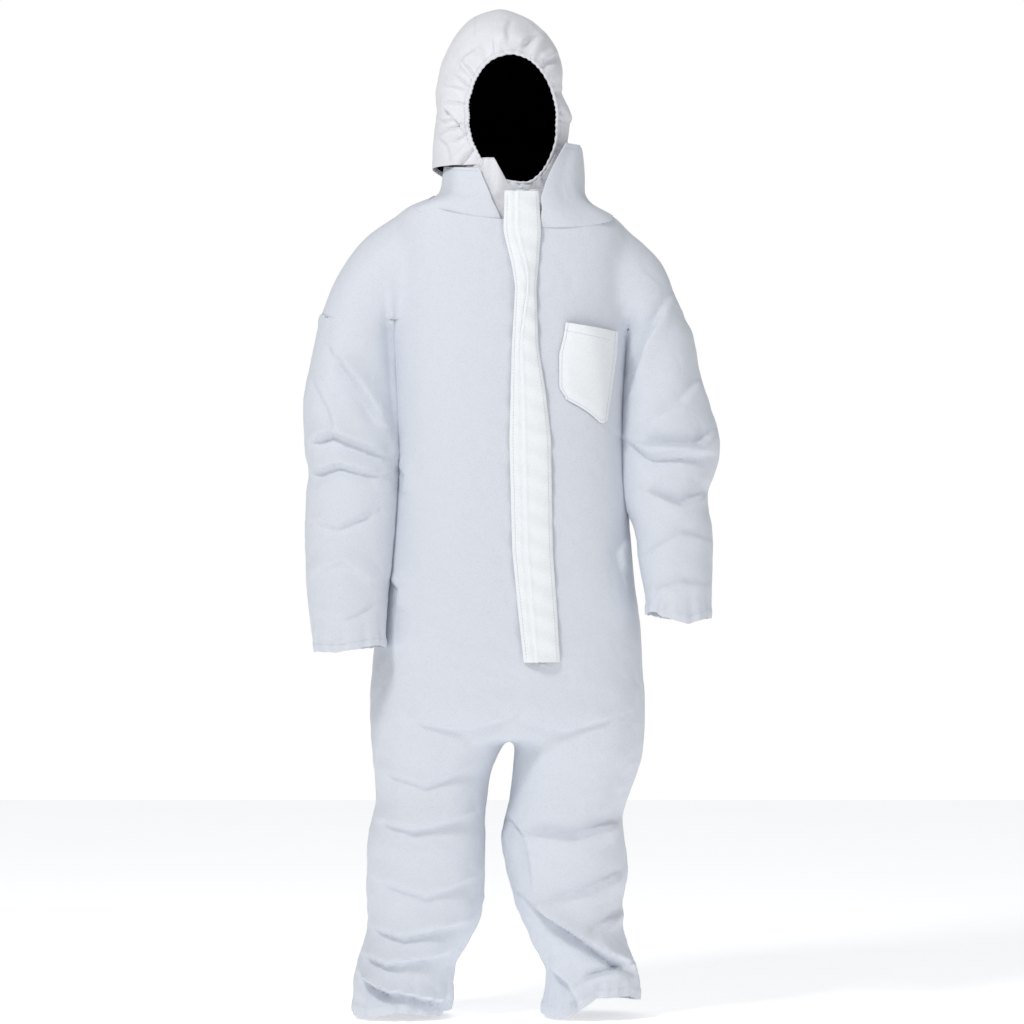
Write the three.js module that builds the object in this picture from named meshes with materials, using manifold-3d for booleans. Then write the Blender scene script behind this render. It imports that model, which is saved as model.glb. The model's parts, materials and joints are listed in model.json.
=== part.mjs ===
// Hooded coverall of white non-woven sheet, for protection against chemical splash and dust.
// Millimetres, +Z up. The origin is the middle of the wearer's neck, level with the shoulder seams.
// -Y is the front. "Left" and "right" are the wearer's, so the right side is at -X.
// Each sheet is a closed solid a few millimetres thick whose outer face is the true outer shape.
import * as THREE from "three";
import { mergeVertices } from "three/addons/utils/BufferGeometryUtils.js";
import Module from "manifold-3d";

const wasm = await Module();
wasm.setup();

// ---- sheet, seams and fits ----
const cloth = 3; // thickness that a sheet is given
const seam = 0.4; // gap where two pieces are sewn edge to edge
const hemExtra = 0.8; // a hem is folded over, so it stands this much proud
const elasticThickness = 2;
const edgeTurn = 0.004; // radians that keep the two edges of a closed-up sheet apart
const legTurn = 0.003;
const backColumns = 12; // faces across the back panels
const limbColumns = 14; // faces round a sleeve or a leg

// ---- trunk: heights of its lines ----
const collarTopLeft = 100;
const collarTopRight = 60;
const collarTopBack = 95;
const collarFrontLeft = 92; // x of the top of the collar's front edge
const collarFrontRight = -73;
const collarFootGap = 3 * seam;
const collarOuter = -1.6; // how far inside the trunk's line its two faces lie
const collarInner = 0.4;
const collarCrowd = 1.4; // crowds the collar's faces towards its front edge
const neckLine = -12; // neck seam at the sides and the back
const neckDip = 24; // the neck seam is this much lower at the front
const shoulderLine = -45;
const armholeTop = -56;
const armholeBottom = -204;
const chestLine = -250;
const waistLine = -480;
const elasticTop = waistLine + 12;
const elasticBottom = waistLine - 10;
const hipLine = -620; // lower edge of the trunk panels
const seatLine = -760;
const crotchLine = -920;

// ---- trunk: half widths and half depths ----
const squareness = 2.6; // 2 is an ellipse, higher is squarer
const collarHalfWidth = 113;
const collarHalfDepth = 122;
const neckHalfWidth = 130;
const neckHalfDepth = 110;
const shoulderHalfWidth = 187;
const shoulderHalfDepth = 122;
const chestHalfWidth = 199;
const chestHalfDepth = 141;
const waistHalfWidth = 203;
const waistHalfDepth = 148;
const seatHalfWidth = 231;
const seatHalfDepth = 154;
const crotchHalfWidth = 238;
const crotchHalfDepth = 150;
const crotchX = 2;

// ---- zip: a straight line down the front, leaning to the wearer's left ----
const zipTopZ = 22;
const zipBottomZ = -790;
const zipTopX = 14;
const zipBottomX = 52;
const zipTopY = -116;
const zipBottomY = -152;
const coilHalfWidth = 3;
const coilFront = 0.5;
const hoodNeckThickness = 1.5;
const coilBack = cloth + hoodNeckThickness + 0.2; // the tape lies behind the panels and the hood's neck
const coilGap = 0.4; // between the coil and the tape behind it
const stopFront = 1;
const topStopHeight = 3;
const bottomStopHalf = coilHalfWidth + 0.6;
const bottomStopHeight = 4;
const tapeHalfWidth = 16;
const tapeThickness = 1;
const insideFit = 1; // gap round a strip that lies loose against the inside of a sheet
const tapeEnd = 6; // tape that runs on past each end of the coil
const sliderHalfWidth = 6.5;
const sliderLength = 14;
const sliderPlate = 2;
const sliderFit = 0.4;
const sliderTop = -2; // below the top end of the zip
const lugHalfGap = 3; // middle of a lug from the middle of the slider
const lugHalfWidth = 0.8;
const lugTop = -4.5;
const lugBottom = -8;
const eyeRise = 1.6; // the pull tab's middle stands this far off the slider's plate
const zipSlot = sliderHalfWidth + 1.5; // half of the gap between the front edges
const tabLength = 30;
const tabHalfWidth = 4.5;
const tabThickness = 2;

// ---- storm flap over the zip ----
const flapHalfWidth = 33;
const flapThickness = 2;
const flapRise = 12;
const flapTop = 17;
const flapBottom = -788;
const flapColumns = 12;
const flapRows = 7;
const adhesiveThickness = 0.8;

// ---- chest pocket on the wearer's left ----
const pocketInner = 84;
const pocketWidth = 98;
const pocketTop = -212;
const pocketHeight = 170;
const pocketBulge = 16;
const pocketLift = 1.4; // clear of the curved panel between its grid lines
const pocketThickness = 2;
const pocketPoint = 22; // the bottom edge is this much lower in the middle

// ---- hood ----
const hoodX = -14;
const hoodHalfWidth = 113;
const hoodHalfDepth = 123;
const hoodFront = -118;
const hoodTop = 343;
const hoodCrown = 170; // the sides are upright up to here
const hoodHem = 62;
const hoodHemShare = 0.86; // the hood narrows to this share of its width at the hem
const hoodFullZ = 150;
const hoodPanelHalf = 46; // half width of the middle panel
const hoodNeckTop = 78;
const hoodNeckInset = 1.4; // gap to the hood outside it
const hoodNeckOuter = cloth; // inside the trunk's line, clear of the panels and the collar
const hoodNeckTopThickness = 1.6;
const faceX = 2;
const faceZ = 145;
const faceHalfWidth = 75;
const faceHalfHeight = 110;
const faceHem = 4;
const faceHemDepth = 5;
const faceHemWidth = faceHem - 2 * seam;
const elasticFace = faceHemDepth + seam;
const faceColumns = 28;

// ---- sleeves: height, gap to the trunk's side, half width, forward shift, half depth ----
const armholeHalfDepth = 66;
const armpitReach = 12; // from the turning centre of the sleeve head to the armpit
const sleeveTop = armholeBottom - armpitReach;
const rightSleeve = [
  [sleeveTop, 8, 62, 0, 72],
  [-338, 5, 80, 0, 76],
  [-440, 6, 76, 8, 74],
  [-563, 6, 69, 48, 66],
  [-685, 0, 63, 88, 62],
  [-771, -14, 59, 108, 58],
];
const leftSleeve = [
  [sleeveTop, 8, 55, 0, 72],
  [-338, 6, 68, 0, 76],
  [-410, 7, 78, 4, 76],
  [-490, 12, 62, 25, 68],
  [-615, 6, 64, 68, 64],
  [-685, 7, 60, 92, 60],
  [-719, 7, 59, 102, 58],
];
const elbowRight = -440;
const elbowLeft = -425;
const elbowReach = 76; // the elbow section runs this far above and below the elbow
const cuffHeight = 26;

// ---- legs: height, middle x, half width, half depth ----
const legHem = -1399; // lower end of both legs
const rightLegOuter = crotchHalfWidth + 7;
const leftLegOuter = crotchHalfWidth - 9;
const rightLeg = [
  [crotchLine, (crotchX - seam - rightLegOuter) / 2, (crotchX - seam + rightLegOuter) / 2, 128],
  [-979, -138, 102, 114],
  [-1135, -150, 103, 104],
  [-1291, -172, 90, 92],
  [legHem, -188, 88, 88],
];
const leftLeg = [
  [crotchLine, (crotchX + seam + leftLegOuter) / 2, (leftLegOuter - crotchX - seam) / 2, 128],
  [-979, 108, 110, 114],
  [-1048, 90, 105, 108],
  [-1135, 95, 107, 104],
  [-1204, 98, 94, 98],
  [-1291, 124, 82, 92],
  [legHem, 136, 83, 88],
];
const kneeLine = -1071;
const kneeReach = 95;
const ankleHemHeight = 30;

// ---- colours ----
const bodyColour = 0xd8dbe5;
const hoodColour = 0xe4e4e8;
const flapColour = 0xeaeced;
const elasticColour = 0xf2f2f0;
const zipColour = 0xf0f0f0;

const suit = new THREE.Group();

function add(name, geometry, colour, parent = suit, roughness = 0.9) {
  const material = new THREE.MeshStandardMaterial({ color: colour, roughness, metalness: 0 });
  const mesh = new THREE.Mesh(geometry, material);
  mesh.name = name;
  parent.add(mesh);
  return mesh;
}

function mix(a, b, share) {
  return a + (b - a) * share;
}

function ease(share) {
  const s = Math.min(1, Math.max(0, share));
  return s * s * (3 - 2 * s);
}

// The row of a table at height z, straight between its rows, which run downwards.
function rowAt(rows, z) {
  let i = 0;
  while (i < rows.length - 2 && z < rows[i + 1][0]) i += 1;
  const share = (rows[i][0] - z) / (rows[i][0] - rows[i + 1][0]);
  return rows[i].slice(1).map((value, k) => mix(value, rows[i + 1][k + 1], share));
}

// Joined vertices, with the faces turned outwards.
function closed(geometry) {
  const bare = new THREE.BufferGeometry();
  bare.setAttribute("position", geometry.getAttribute("position"));
  bare.setIndex(geometry.index);
  const merged = mergeVertices(bare, 1e-3);
  const p = merged.getAttribute("position");
  const index = merged.index.array;
  const [a, b, c] = [new THREE.Vector3(), new THREE.Vector3(), new THREE.Vector3()];
  let volume = 0;
  for (let i = 0; i < index.length; i += 3) {
    a.fromBufferAttribute(p, index[i]);
    b.fromBufferAttribute(p, index[i + 1]);
    c.fromBufferAttribute(p, index[i + 2]);
    volume += a.dot(b.cross(c));
  }
  if (volume < 0) index.reverse();
  return merged;
}

// A flat piece bent to shape: place(across, along, inward) takes shares from 0 to 1.
function sheet(columns, rows, place) {
  const box = new THREE.BoxGeometry(1, 1, 1, columns, rows, 1);
  const p = box.getAttribute("position");
  for (let i = 0; i < p.count; i += 1) {
    p.setXYZ(i, ...place(p.getX(i) + 0.5, p.getY(i) + 0.5, p.getZ(i) + 0.5));
  }
  return closed(box);
}

// A ring bent to shape: place(angle, along, inward), with the angle in radians.
function tube(columns, rows, place) {
  const outline = [];
  for (let i = 0; i <= rows; i += 1) outline.push(new THREE.Vector2(2, i / rows));
  for (let i = rows; i >= 0; i -= 1) outline.push(new THREE.Vector2(1, i / rows));
  outline.push(outline[0].clone());
  const ring = new THREE.LatheGeometry(outline, columns);
  const p = ring.getAttribute("position");
  for (let i = 0; i < p.count; i += 1) {
    const radius = Math.hypot(p.getX(i), p.getZ(i));
    const angle = Math.atan2(p.getX(i), p.getZ(i));
    p.setXYZ(i, ...place(angle, p.getY(i), 2 - radius));
  }
  return closed(ring);
}

function solid(geometry) {
  const whole = closed(geometry);
  const vertProperties = new Float32Array(whole.getAttribute("position").array);
  return new wasm.Manifold(
    new wasm.Mesh({ numProp: 3, vertProperties, triVerts: new Uint32Array(whole.index.array) }),
  );
}

function geometryOf(manifold) {
  const mesh = manifold.getMesh();
  const geometry = new THREE.BufferGeometry();
  geometry.setAttribute("position", new THREE.BufferAttribute(mesh.vertProperties, 3));
  geometry.setIndex(new THREE.BufferAttribute(mesh.triVerts, 1));
  return geometry;
}

function block(x0, x1, y0, y1, z0, z1) {
  const box = new THREE.BoxGeometry(x1 - x0, y1 - y0, z1 - z0);
  return box.translate((x0 + x1) / 2, (y0 + y1) / 2, (z0 + z1) / 2);
}

// ---- the trunk's outer surface ----
const trunkRows = [
  [collarTopLeft, 1, collarHalfWidth, collarHalfDepth],
  [neckLine, 1, neckHalfWidth, neckHalfDepth],
  [shoulderLine, -2, shoulderHalfWidth, shoulderHalfDepth],
  [-110, -4, chestHalfWidth, chestHalfDepth - 3],
  [chestLine, -4, chestHalfWidth, chestHalfDepth],
  [waistLine, -3, waistHalfWidth, waistHalfDepth],
  [seatLine, -6, seatHalfWidth, seatHalfDepth],
  [crotchLine, -8, crotchHalfWidth, crotchHalfDepth],
];

function zipAt(z) {
  const share = (zipTopZ - z) / (zipTopZ - zipBottomZ);
  return [mix(zipTopX, zipBottomX, share), mix(zipTopY, zipBottomY, share)];
}

function bulge(share) {
  return Math.pow(1 - Math.pow(Math.min(1, Math.abs(share)), squareness), 1 / squareness);
}

function squared(value) {
  return Math.sign(value) * Math.pow(Math.abs(value), 2 / squareness);
}

// The middle of a section is set so that the surface runs through the zip's straight line.
function trunkMiddle(z) {
  const [x, halfWidth, halfDepth] = rowAt(trunkRows, z);
  const [zipX, zipY] = zipAt(z);
  return [x, zipY + halfDepth * bulge((zipX - x) / halfWidth), halfWidth, halfDepth];
}

function trunkPoint(angle, z, depth) {
  const [x, y, halfWidth, halfDepth] = trunkMiddle(z);
  return [
    x + (halfWidth - depth) * squared(Math.cos(angle)),
    y + (halfDepth - depth) * squared(Math.sin(angle)),
    z,
  ];
}

function frontY(x, z) {
  const [middle, y, halfWidth, halfDepth] = trunkMiddle(z);
  return y - halfDepth * bulge((x - middle) / halfWidth);
}

function trunkSide(side, z) {
  const [x, halfWidth] = rowAt(trunkRows, z);
  return side * (x + side * halfWidth);
}

// The angle at which the front of a section passes x, and the angle of a side seam's edge.
function frontAngle(x, z) {
  const [middle, halfWidth] = rowAt(trunkRows, z);
  const share = (x - middle) / halfWidth;
  return -Math.acos(Math.sign(share) * Math.pow(Math.abs(share), squareness / 2));
}

function seamAngle(z) {
  return Math.asin(Math.pow(seam / 2 / rowAt(trunkRows, z)[2], squareness / 2));
}

function neckAt(angle) {
  return neckLine - neckDip * Math.pow(Math.max(0, -Math.sin(angle)), 2);
}

// ---- trunk panels, with the armholes cut out of their sides ----
function armhole(side) {
  const height = (armholeTop - armholeBottom) / 2;
  const cutter = new THREE.CylinderGeometry(1, 1, 160, 24);
  cutter.rotateZ(Math.PI / 2);
  cutter.scale(1, armholeHalfDepth, height);
  return solid(cutter.translate(side * chestHalfWidth, 0, armholeBottom + height));
}

const armholes = armhole(-1).add(armhole(1));

function frontPanel(side) {
  const shape = sheet(8, 8, (across, along, inward) => {
    const z = mix(hipLine, neckLine, along);
    const edge = frontAngle(zipAt(z)[0] + side * zipSlot, z);
    const seamEdge = side > 0 ? -seamAngle(z) : -Math.PI + seamAngle(z);
    const angle = mix(edge, seamEdge, across);
    const lowered = mix(hipLine, neckAt(angle), along);
    return trunkPoint(angle, lowered, cloth * inward);
  });
  return geometryOf(solid(shape).subtract(armholes));
}

// The row of faces next to the waist seam is as high as the elastic behind it.
function backPanel(seamZ, nextZ, farZ, rows) {
  return sheet(backColumns, rows, (across, along, inward) => {
    const row = Math.round(along * rows);
    const z = row === 0 ? seamZ : mix(nextZ, farZ, (row - 1) / (rows - 1));
    const angle = mix(seamAngle(z), Math.PI - seamAngle(z), across);
    return trunkPoint(angle, z, cloth * inward);
  });
}

add("front_panel_right", frontPanel(-1), bodyColour);
add("front_panel_left", frontPanel(1), bodyColour);
const upperBack = solid(backPanel(waistLine + seam, elasticTop, neckLine, 9)).subtract(armholes);
add("back_panel_upper", geometryOf(upperBack), bodyColour);
add("back_panel_seat", backPanel(waistLine, elasticBottom, hipLine, 3), bodyColour);

const waistElastic = sheet(backColumns - 2, 2, (across, along, inward) => {
  const z = [elasticBottom, waistLine, elasticTop][Math.round(along * 2)];
  const share = (1 + across * (backColumns - 2)) / backColumns;
  const depth = cloth + insideFit + elasticThickness * inward;
  return trunkPoint(mix(seamAngle(z), Math.PI - seamAngle(z), share), z, depth);
});
add("waist_elastic", waistElastic, elasticColour);

// ---- stand-up collar: each half runs from the back seam to a slanting front edge ----
function collar(side) {
  const frontTop = side > 0 ? collarFrontLeft : collarFrontRight;
  const topHeight = side > 0 ? collarTopLeft : collarTopRight;
  return sheet(14, 3, (across, along, inward) => {
    const edgeX = mix(zipAt(neckLine)[0] + side * (flapHalfWidth + 3), frontTop, along);
    const middleHeight = mix(neckLine - neckDip, topHeight, along);
    const frontEdge = frontAngle(edgeX, middleHeight);
    const backEdge = side > 0 ? Math.PI / 2 - edgeTurn : (-Math.PI * 3) / 2 + edgeTurn;
    const angle = mix(frontEdge, backEdge, Math.pow(across, collarCrowd));
    const backShare = ease(across * 1.4 - 0.2);
    const foot = neckAt(angle) + collarFootGap;
    const z = mix(foot, mix(topHeight, collarTopBack, backShare), along);
    return trunkPoint(angle, z, mix(collarOuter, collarInner, inward));
  });
}
add("collar_right", collar(-1), bodyColour);
add("collar_left", collar(1), bodyColour);

// ---- zip ----
const [zipX0, zipY0] = zipAt(zipTopZ);
const zipLine = new THREE.Group();
zipLine.position.set(zipX0, zipY0, zipTopZ);
const zipDown = new THREE.Vector3(
  zipBottomX - zipTopX,
  zipBottomY - zipTopY,
  zipBottomZ - zipTopZ,
);
const zipLength = zipDown.length();
zipLine.quaternion.setFromUnitVectors(new THREE.Vector3(0, 0, -1), zipDown.clone().normalize());
suit.add(zipLine);

for (const [name, side] of [["right", -1], ["left", 1]]) {
  const tape = sheet(1, 8, (across, along, inward) => {
    const z = mix(zipBottomZ - tapeEnd, zipTopZ + tapeEnd, along);
    const x = zipAt(z)[0] + side * mix(seam / 2, tapeHalfWidth, across);
    return [x, frontY(x, z) + coilBack + seam + tapeThickness * inward, z];
  });
  add("zip_tape_" + name, tape, zipColour);
  const inner = Math.min(side * coilHalfWidth, (side * seam) / 2);
  const outer = Math.max(side * coilHalfWidth, (side * seam) / 2);
  const coil = block(inner, outer, -coilFront, coilBack - coilGap, -zipLength, 0);
  add("zip_coil_" + name, coil, zipColour, zipLine, 0.5);
  const stop = block(inner, outer, -stopFront, coilBack - coilGap, seam, seam + topStopHeight);
  add("zip_top_stop_" + name, stop, zipColour, zipLine, 0.5);
}
const bottomStop = block(
  -bottomStopHalf,
  bottomStopHalf,
  -stopFront,
  coilBack - coilGap - 0.1,
  -zipLength - seam - bottomStopHeight,
  -zipLength - seam,
);
add("zip_bottom_stop", bottomStop, zipColour, zipLine, 0.5);

const plateBack = -coilFront - sliderFit;
const flangeInner = coilHalfWidth + sliderFit;
const sliderBottom = sliderTop - sliderLength;
let slider = solid(
  block(-sliderHalfWidth, sliderHalfWidth, plateBack - sliderPlate, plateBack, sliderBottom, sliderTop),
);
for (const side of [-1, 1]) {
  const from = Math.min(side * flangeInner, side * sliderHalfWidth);
  const to = Math.max(side * flangeInner, side * sliderHalfWidth);
  slider = slider.add(solid(block(from, to, plateBack - 1, 2, sliderBottom, sliderTop)));
}
const eyeY = plateBack - sliderPlate - eyeRise;
for (const side of [-1, 1]) {
  const lug = block(
    side * lugHalfGap - lugHalfWidth,
    side * lugHalfGap + lugHalfWidth,
    eyeY - 1.4,
    plateBack - 1,
    lugBottom,
    lugTop,
  );
  slider = slider.add(solid(lug));
}
add("zip_slider", geometryOf(slider), zipColour, zipLine, 0.4);

// The tab's neck hangs between the slider's two lugs.
const tabTop = lugTop - 0.1;
const neckHalf = lugHalfGap - lugHalfWidth - sliderFit;
const tabNeck = block(-neckHalf, neckHalf, eyeY - tabThickness / 2, eyeY + tabThickness / 2, -12, tabTop);
const tabBlade = block(
  -tabHalfWidth,
  tabHalfWidth,
  eyeY - tabThickness / 2,
  eyeY + tabThickness / 2,
  -tabLength,
  -10,
);
add("zip_pull_tab", geometryOf(solid(tabNeck).add(solid(tabBlade))), zipColour, zipLine, 0.4);

// ---- storm flap: sewn along its right edge, stuck down along its left edge ----
function flapHeight(share) {
  return 0.5 + (flapRise - 0.5) * Math.sqrt(Math.sin(Math.PI * Math.min(1, Math.max(0, share))));
}

function flapPoint(share, z, height) {
  const x = zipAt(z)[0] + mix(-flapHalfWidth, flapHalfWidth, share);
  return [x, frontY(x, z) - height, z];
}

const flap = sheet(flapColumns, flapRows, (across, along, inward) => {
  const z = mix(flapBottom, flapTop, along);
  return flapPoint(across, z, flapHeight(across) + flapThickness * (1 - inward));
});
add("storm_flap", flap, flapColour);

const adhesive = sheet(1, flapRows - 1, (across, along, inward) => {
  const z = mix(flapBottom, flapTop, (along * (flapRows - 1)) / flapRows);
  const share = (flapColumns - 2 + across) / flapColumns;
  return flapPoint(share, z, flapHeight(share) - seam - adhesiveThickness * inward);
});
add("flap_adhesive_strip", adhesive, elasticColour);

// ---- chest pocket, sewn down at its sides and its foot, open at the top ----
const pocket = sheet(8, 4, (across, along, inward) => {
  const middle = Math.sin(Math.PI * across);
  const foot = pocketTop - pocketHeight - pocketPoint * middle;
  const z = mix(foot, pocketTop, along);
  const x = pocketInner + pocketWidth * across;
  const lift = pocketLift + pocketBulge * Math.sqrt(middle) * Math.sqrt(along);
  return [x, frontY(x, z) - lift - pocketThickness * (1 - inward), z];
});
add("chest_pocket", pocket, flapColour);

// ---- hood: a rounded shell in three panels round the face opening ----
function hoodSection(z) {
  const share = mix(hoodHemShare, 1, ease((z - hoodHem) / (hoodFullZ - hoodHem)));
  return [hoodX, hoodFront + hoodHalfDepth * share, hoodHalfWidth * share, hoodHalfDepth * share];
}

function hoodSolid(inset, bottom) {
  const outline = [new THREE.Vector2(0, bottom)];
  const steps = 3;
  for (let i = 0; i <= steps; i += 1) {
    outline.push(new THREE.Vector2(1, mix(bottom, hoodCrown, i / steps)));
  }
  const crownSteps = 5;
  for (let i = 1; i < crownSteps; i += 1) {
    const angle = ((i / crownSteps) * Math.PI) / 2;
    const height = hoodCrown + (hoodTop - inset - hoodCrown) * Math.sin(angle);
    outline.push(new THREE.Vector2(Math.cos(angle), height));
  }
  outline.push(new THREE.Vector2(0, hoodTop - inset));
  const shape = new THREE.LatheGeometry(outline, 24).rotateX(Math.PI / 2);
  const p = shape.getAttribute("position");
  for (let i = 0; i < p.count; i += 1) {
    const z = p.getZ(i);
    const [x, y, halfWidth, halfDepth] = hoodSection(z);
    p.setX(i, x + p.getX(i) * (halfWidth - inset));
    p.setY(i, y + p.getY(i) * (halfDepth - inset));
  }
  return solid(shape);
}

function faceCutter(grow) {
  const cutter = new THREE.CylinderGeometry(1, 1, 200, faceColumns);
  cutter.scale(faceHalfWidth + grow, 1, faceHalfHeight + grow);
  return solid(cutter.translate(faceX, hoodFront, faceZ));
}

const faceOpening = faceCutter(faceHem);
const hoodShell = hoodSolid(0, hoodHem).subtract(hoodSolid(cloth, hoodHem - 20)).subtract(faceOpening);
const hoodCuts = [
  ["hood_panel_right", -400, hoodX - hoodPanelHalf - seam],
  ["hood_panel_middle", hoodX - hoodPanelHalf, hoodX + hoodPanelHalf],
  ["hood_panel_left", hoodX + hoodPanelHalf + seam, 400],
];
for (const [name, from, to] of hoodCuts) {
  let piece = hoodShell.intersect(solid(block(from, to, -400, 400, -100, 500)));
  if (name === "hood_panel_middle") {
    // Under the chin the middle panel is left out, where the zip comes up.
    piece = piece.intersect(solid(block(from, to, -400, 400, faceZ, 500)))
      .add(piece.intersect(solid(block(from, to, 0, 400, -100, faceZ + 1))));
  }
  add(name, geometryOf(piece), hoodColour);
}

// Shares that crowd towards both ends, for a finer curve beside the zip.
function crowded(share) {
  return share - (0.75 * Math.sin(2 * Math.PI * share)) / (2 * Math.PI);
}

// The neck of the hood rises inside the collar from the neck seam, split in front for the zip.
const hoodNeckShape = sheet(20, 5, (across, along, inward) => {
  const z0 = mix(neckLine, hoodNeckTop, along);
  const [zipX] = zipAt(z0);
  const trunkFrom = frontAngle(zipX + zipSlot, z0);
  const trunkTo = frontAngle(zipX - zipSlot, z0) + 2 * Math.PI;
  const round = crowded(across);
  const trunkAngle = mix(trunkFrom, trunkTo, round);
  const z = mix(neckAt(trunkAngle) + seam, hoodNeckTop, along);
  const onTrunk = trunkPoint(trunkAngle, z, mix(hoodNeckOuter, hoodNeckOuter + hoodNeckThickness, inward));
  const [hx, hy, halfWidth, halfDepth] = hoodSection(hoodHem);
  const inset = cloth + hoodNeckInset + hoodNeckTopThickness * inward;
  const hoodFrom = -Math.acos((zipX + zipSlot - hx) / (halfWidth - inset));
  const hoodTo = 2 * Math.PI - Math.acos((zipX - zipSlot - hx) / (halfWidth - inset));
  const hoodAngle = mix(hoodFrom, hoodTo, round);
  const share = ease((along - 0.6) / 0.2);
  return [
    mix(onTrunk[0], hx + (halfWidth - inset) * Math.cos(hoodAngle), share),
    mix(onTrunk[1], hy + (halfDepth - inset) * Math.sin(hoodAngle), share),
    z,
  ];
});
add("hood_neck", geometryOf(solid(hoodNeckShape).subtract(faceOpening)), hoodColour);

// A point of the hood's front near the face opening, at a distance outside its edge.
function faceEdge(radial, angle) {
  const x = faceX + (faceHalfWidth + radial) * Math.cos(angle);
  const z = faceZ + (faceHalfHeight + radial) * Math.sin(angle);
  const [hx, hy, halfWidth, halfDepth] = hoodSection(Math.max(z, hoodHem));
  const low = z < hoodCrown ? 1 : Math.sqrt(1 - ((z - hoodCrown) / (hoodTop - hoodCrown)) ** 2);
  const share = Math.min(0.95, Math.abs(x - hx) / (halfWidth * low));
  return [x, hy - halfDepth * low * Math.sqrt(1 - share * share), z];
}

// Folded hem round the face opening, with the elastic thread behind it.
// Both rings start from the faces that lie against each other, so those are split alike.
function faceRing(first, last) {
  return tube(faceColumns, 1, (angle, along, inward) => {
    const [x, y, z] = faceEdge(mix(faceHemWidth, 0, inward), angle);
    return [x, y + mix(first, last, along), z];
  });
}
add("hood_face_hem", faceRing(faceHemDepth, 0), hoodColour);
add("hood_face_elastic", faceRing(elasticFace, elasticFace + elasticThickness), elasticColour);

// ---- sleeves ----
function limbPoint(section, angle, depth) {
  const [x, y, halfWidth, halfDepth, z] = section;
  return [x + (halfWidth - depth) * Math.cos(angle), y + (halfDepth - depth) * Math.sin(angle), z];
}

function sleeveSection(side, rows, z) {
  const [gap, halfWidth, forward, halfDepth] = rowAt(rows, z);
  const x = side * (trunkSide(side, z) + gap + halfWidth);
  return [x, -forward, halfWidth, halfDepth, z];
}

function limbTube(sectionAt, topZ, bottomZ, rows, outward = 0, thickness = cloth) {
  return tube(limbColumns, rows, (angle, along, inward) => {
    const section = sectionAt(mix(bottomZ, topZ, along));
    return limbPoint(section, angle, mix(-outward, thickness, inward));
  });
}

function elasticRing(sectionAt, z, height) {
  return tube(limbColumns, 1, (angle, along, inward) => {
    const depth = cloth + seam + elasticThickness * inward;
    return limbPoint(sectionAt(mix(z, z + height, along)), angle, depth);
  });
}

// The sleeve head turns from the upright armhole to the level top of the sleeve.
function sleeveHead(side, rows) {
  const [topX, topY, topHalfWidth, topHalfDepth] = sleeveSection(side, rows, sleeveTop);
  const turnX = topX - side * (topHalfWidth + armpitReach);
  const startLength = armholeTop - armholeBottom;
  return tube(limbColumns, 4, (angle, along, inward) => {
    const depth = cloth * inward;
    const length = mix(startLength, 2 * topHalfWidth, along);
    const halfDepth = mix(armholeHalfDepth, topHalfDepth, along);
    const reach = armpitReach + length / 2 + (length / 2 - depth) * Math.cos(angle);
    const y = topY + (halfDepth - depth) * Math.sin(angle);
    const turn = (along * Math.PI) / 2;
    if (along < 0.01) {
      const z = sleeveTop + reach;
      const [middle, middleY, halfWidth, trunkDepth] = trunkMiddle(z);
      const surface = middle + side * halfWidth * bulge((y - middleY) / trunkDepth);
      return [surface + side * 1, y, z];
    }
    return [turnX + side * reach * Math.sin(turn), y, sleeveTop + reach * Math.cos(turn)];
  });
}

const arms = [["right", -1, rightSleeve, elbowRight], ["left", 1, leftSleeve, elbowLeft]];
for (const [name, side, rows, elbow] of arms) {
  const sectionAt = (z) => sleeveSection(side, rows, z);
  const cuffEnd = rows[rows.length - 1][0];
  const cuffTop = cuffEnd + cuffHeight;
  const above = elbow + elbowReach;
  const below = elbow - elbowReach;
  add("sleeve_head_" + name, sleeveHead(side, rows), bodyColour);
  add("sleeve_upper_" + name, limbTube(sectionAt, sleeveTop - seam, above, 3), bodyColour);
  add("sleeve_elbow_" + name, limbTube(sectionAt, above - seam, below, 3), bodyColour);
  add("sleeve_lower_" + name, limbTube(sectionAt, below - seam, cuffTop, 4), bodyColour);
  add("cuff_" + name, limbTube(sectionAt, cuffTop - seam, cuffEnd, 1, hemExtra), bodyColour);
  add("cuff_elastic_" + name, elasticRing(sectionAt, cuffEnd + 6, 10), elasticColour);
}

// ---- legs ----
function legSection(rows, z) {
  const [x, halfWidth, halfDepth] = rowAt(rows, z);
  return [x, 0, halfWidth, halfDepth, z];
}

// The top of a leg is open to its fellow: its edges run down the front and the back of the
// trunk, turn in under the crotch and close there round the leg.
function legTop(side, rows) {
  const underZip = zipBottomZ - tapeEnd - 1;
  const leg = legSection(rows, crotchLine);
  return sheet(16, 8, (across, along, inward) => {
    const down = 1 - along;
    const z = down < 0.25
      ? mix(hipLine - seam, underZip, down / 0.25)
      : mix(underZip, crotchLine, (down - 0.25) / 0.75);
    const turnIn = ease((underZip - z) / (underZip - crotchLine));
    const zipEdge = zipAt(Math.max(z, underZip))[0] + side * zipSlot;
    const edgeX = mix(zipEdge, crotchX + side * seam, turnIn);
    const half = (Math.PI / 2) * side;
    const backEdge = Math.PI / 2 - side * edgeTurn;
    const from = frontAngle(edgeX, z);
    const to = side > 0 ? backEdge : backEdge - 2 * Math.PI;
    const onTrunk = trunkPoint(mix(from, to, across), z, cloth * inward);
    const legFrom = -Math.PI / 2 - half + side * legTurn;
    const legTo = legFrom + side * (2 * Math.PI - 2 * legTurn);
    const onLeg = limbPoint(leg, mix(legFrom, legTo, across), cloth * inward);
    return [mix(onTrunk[0], onLeg[0], turnIn), mix(onTrunk[1], onLeg[1], turnIn), z];
  });
}

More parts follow.
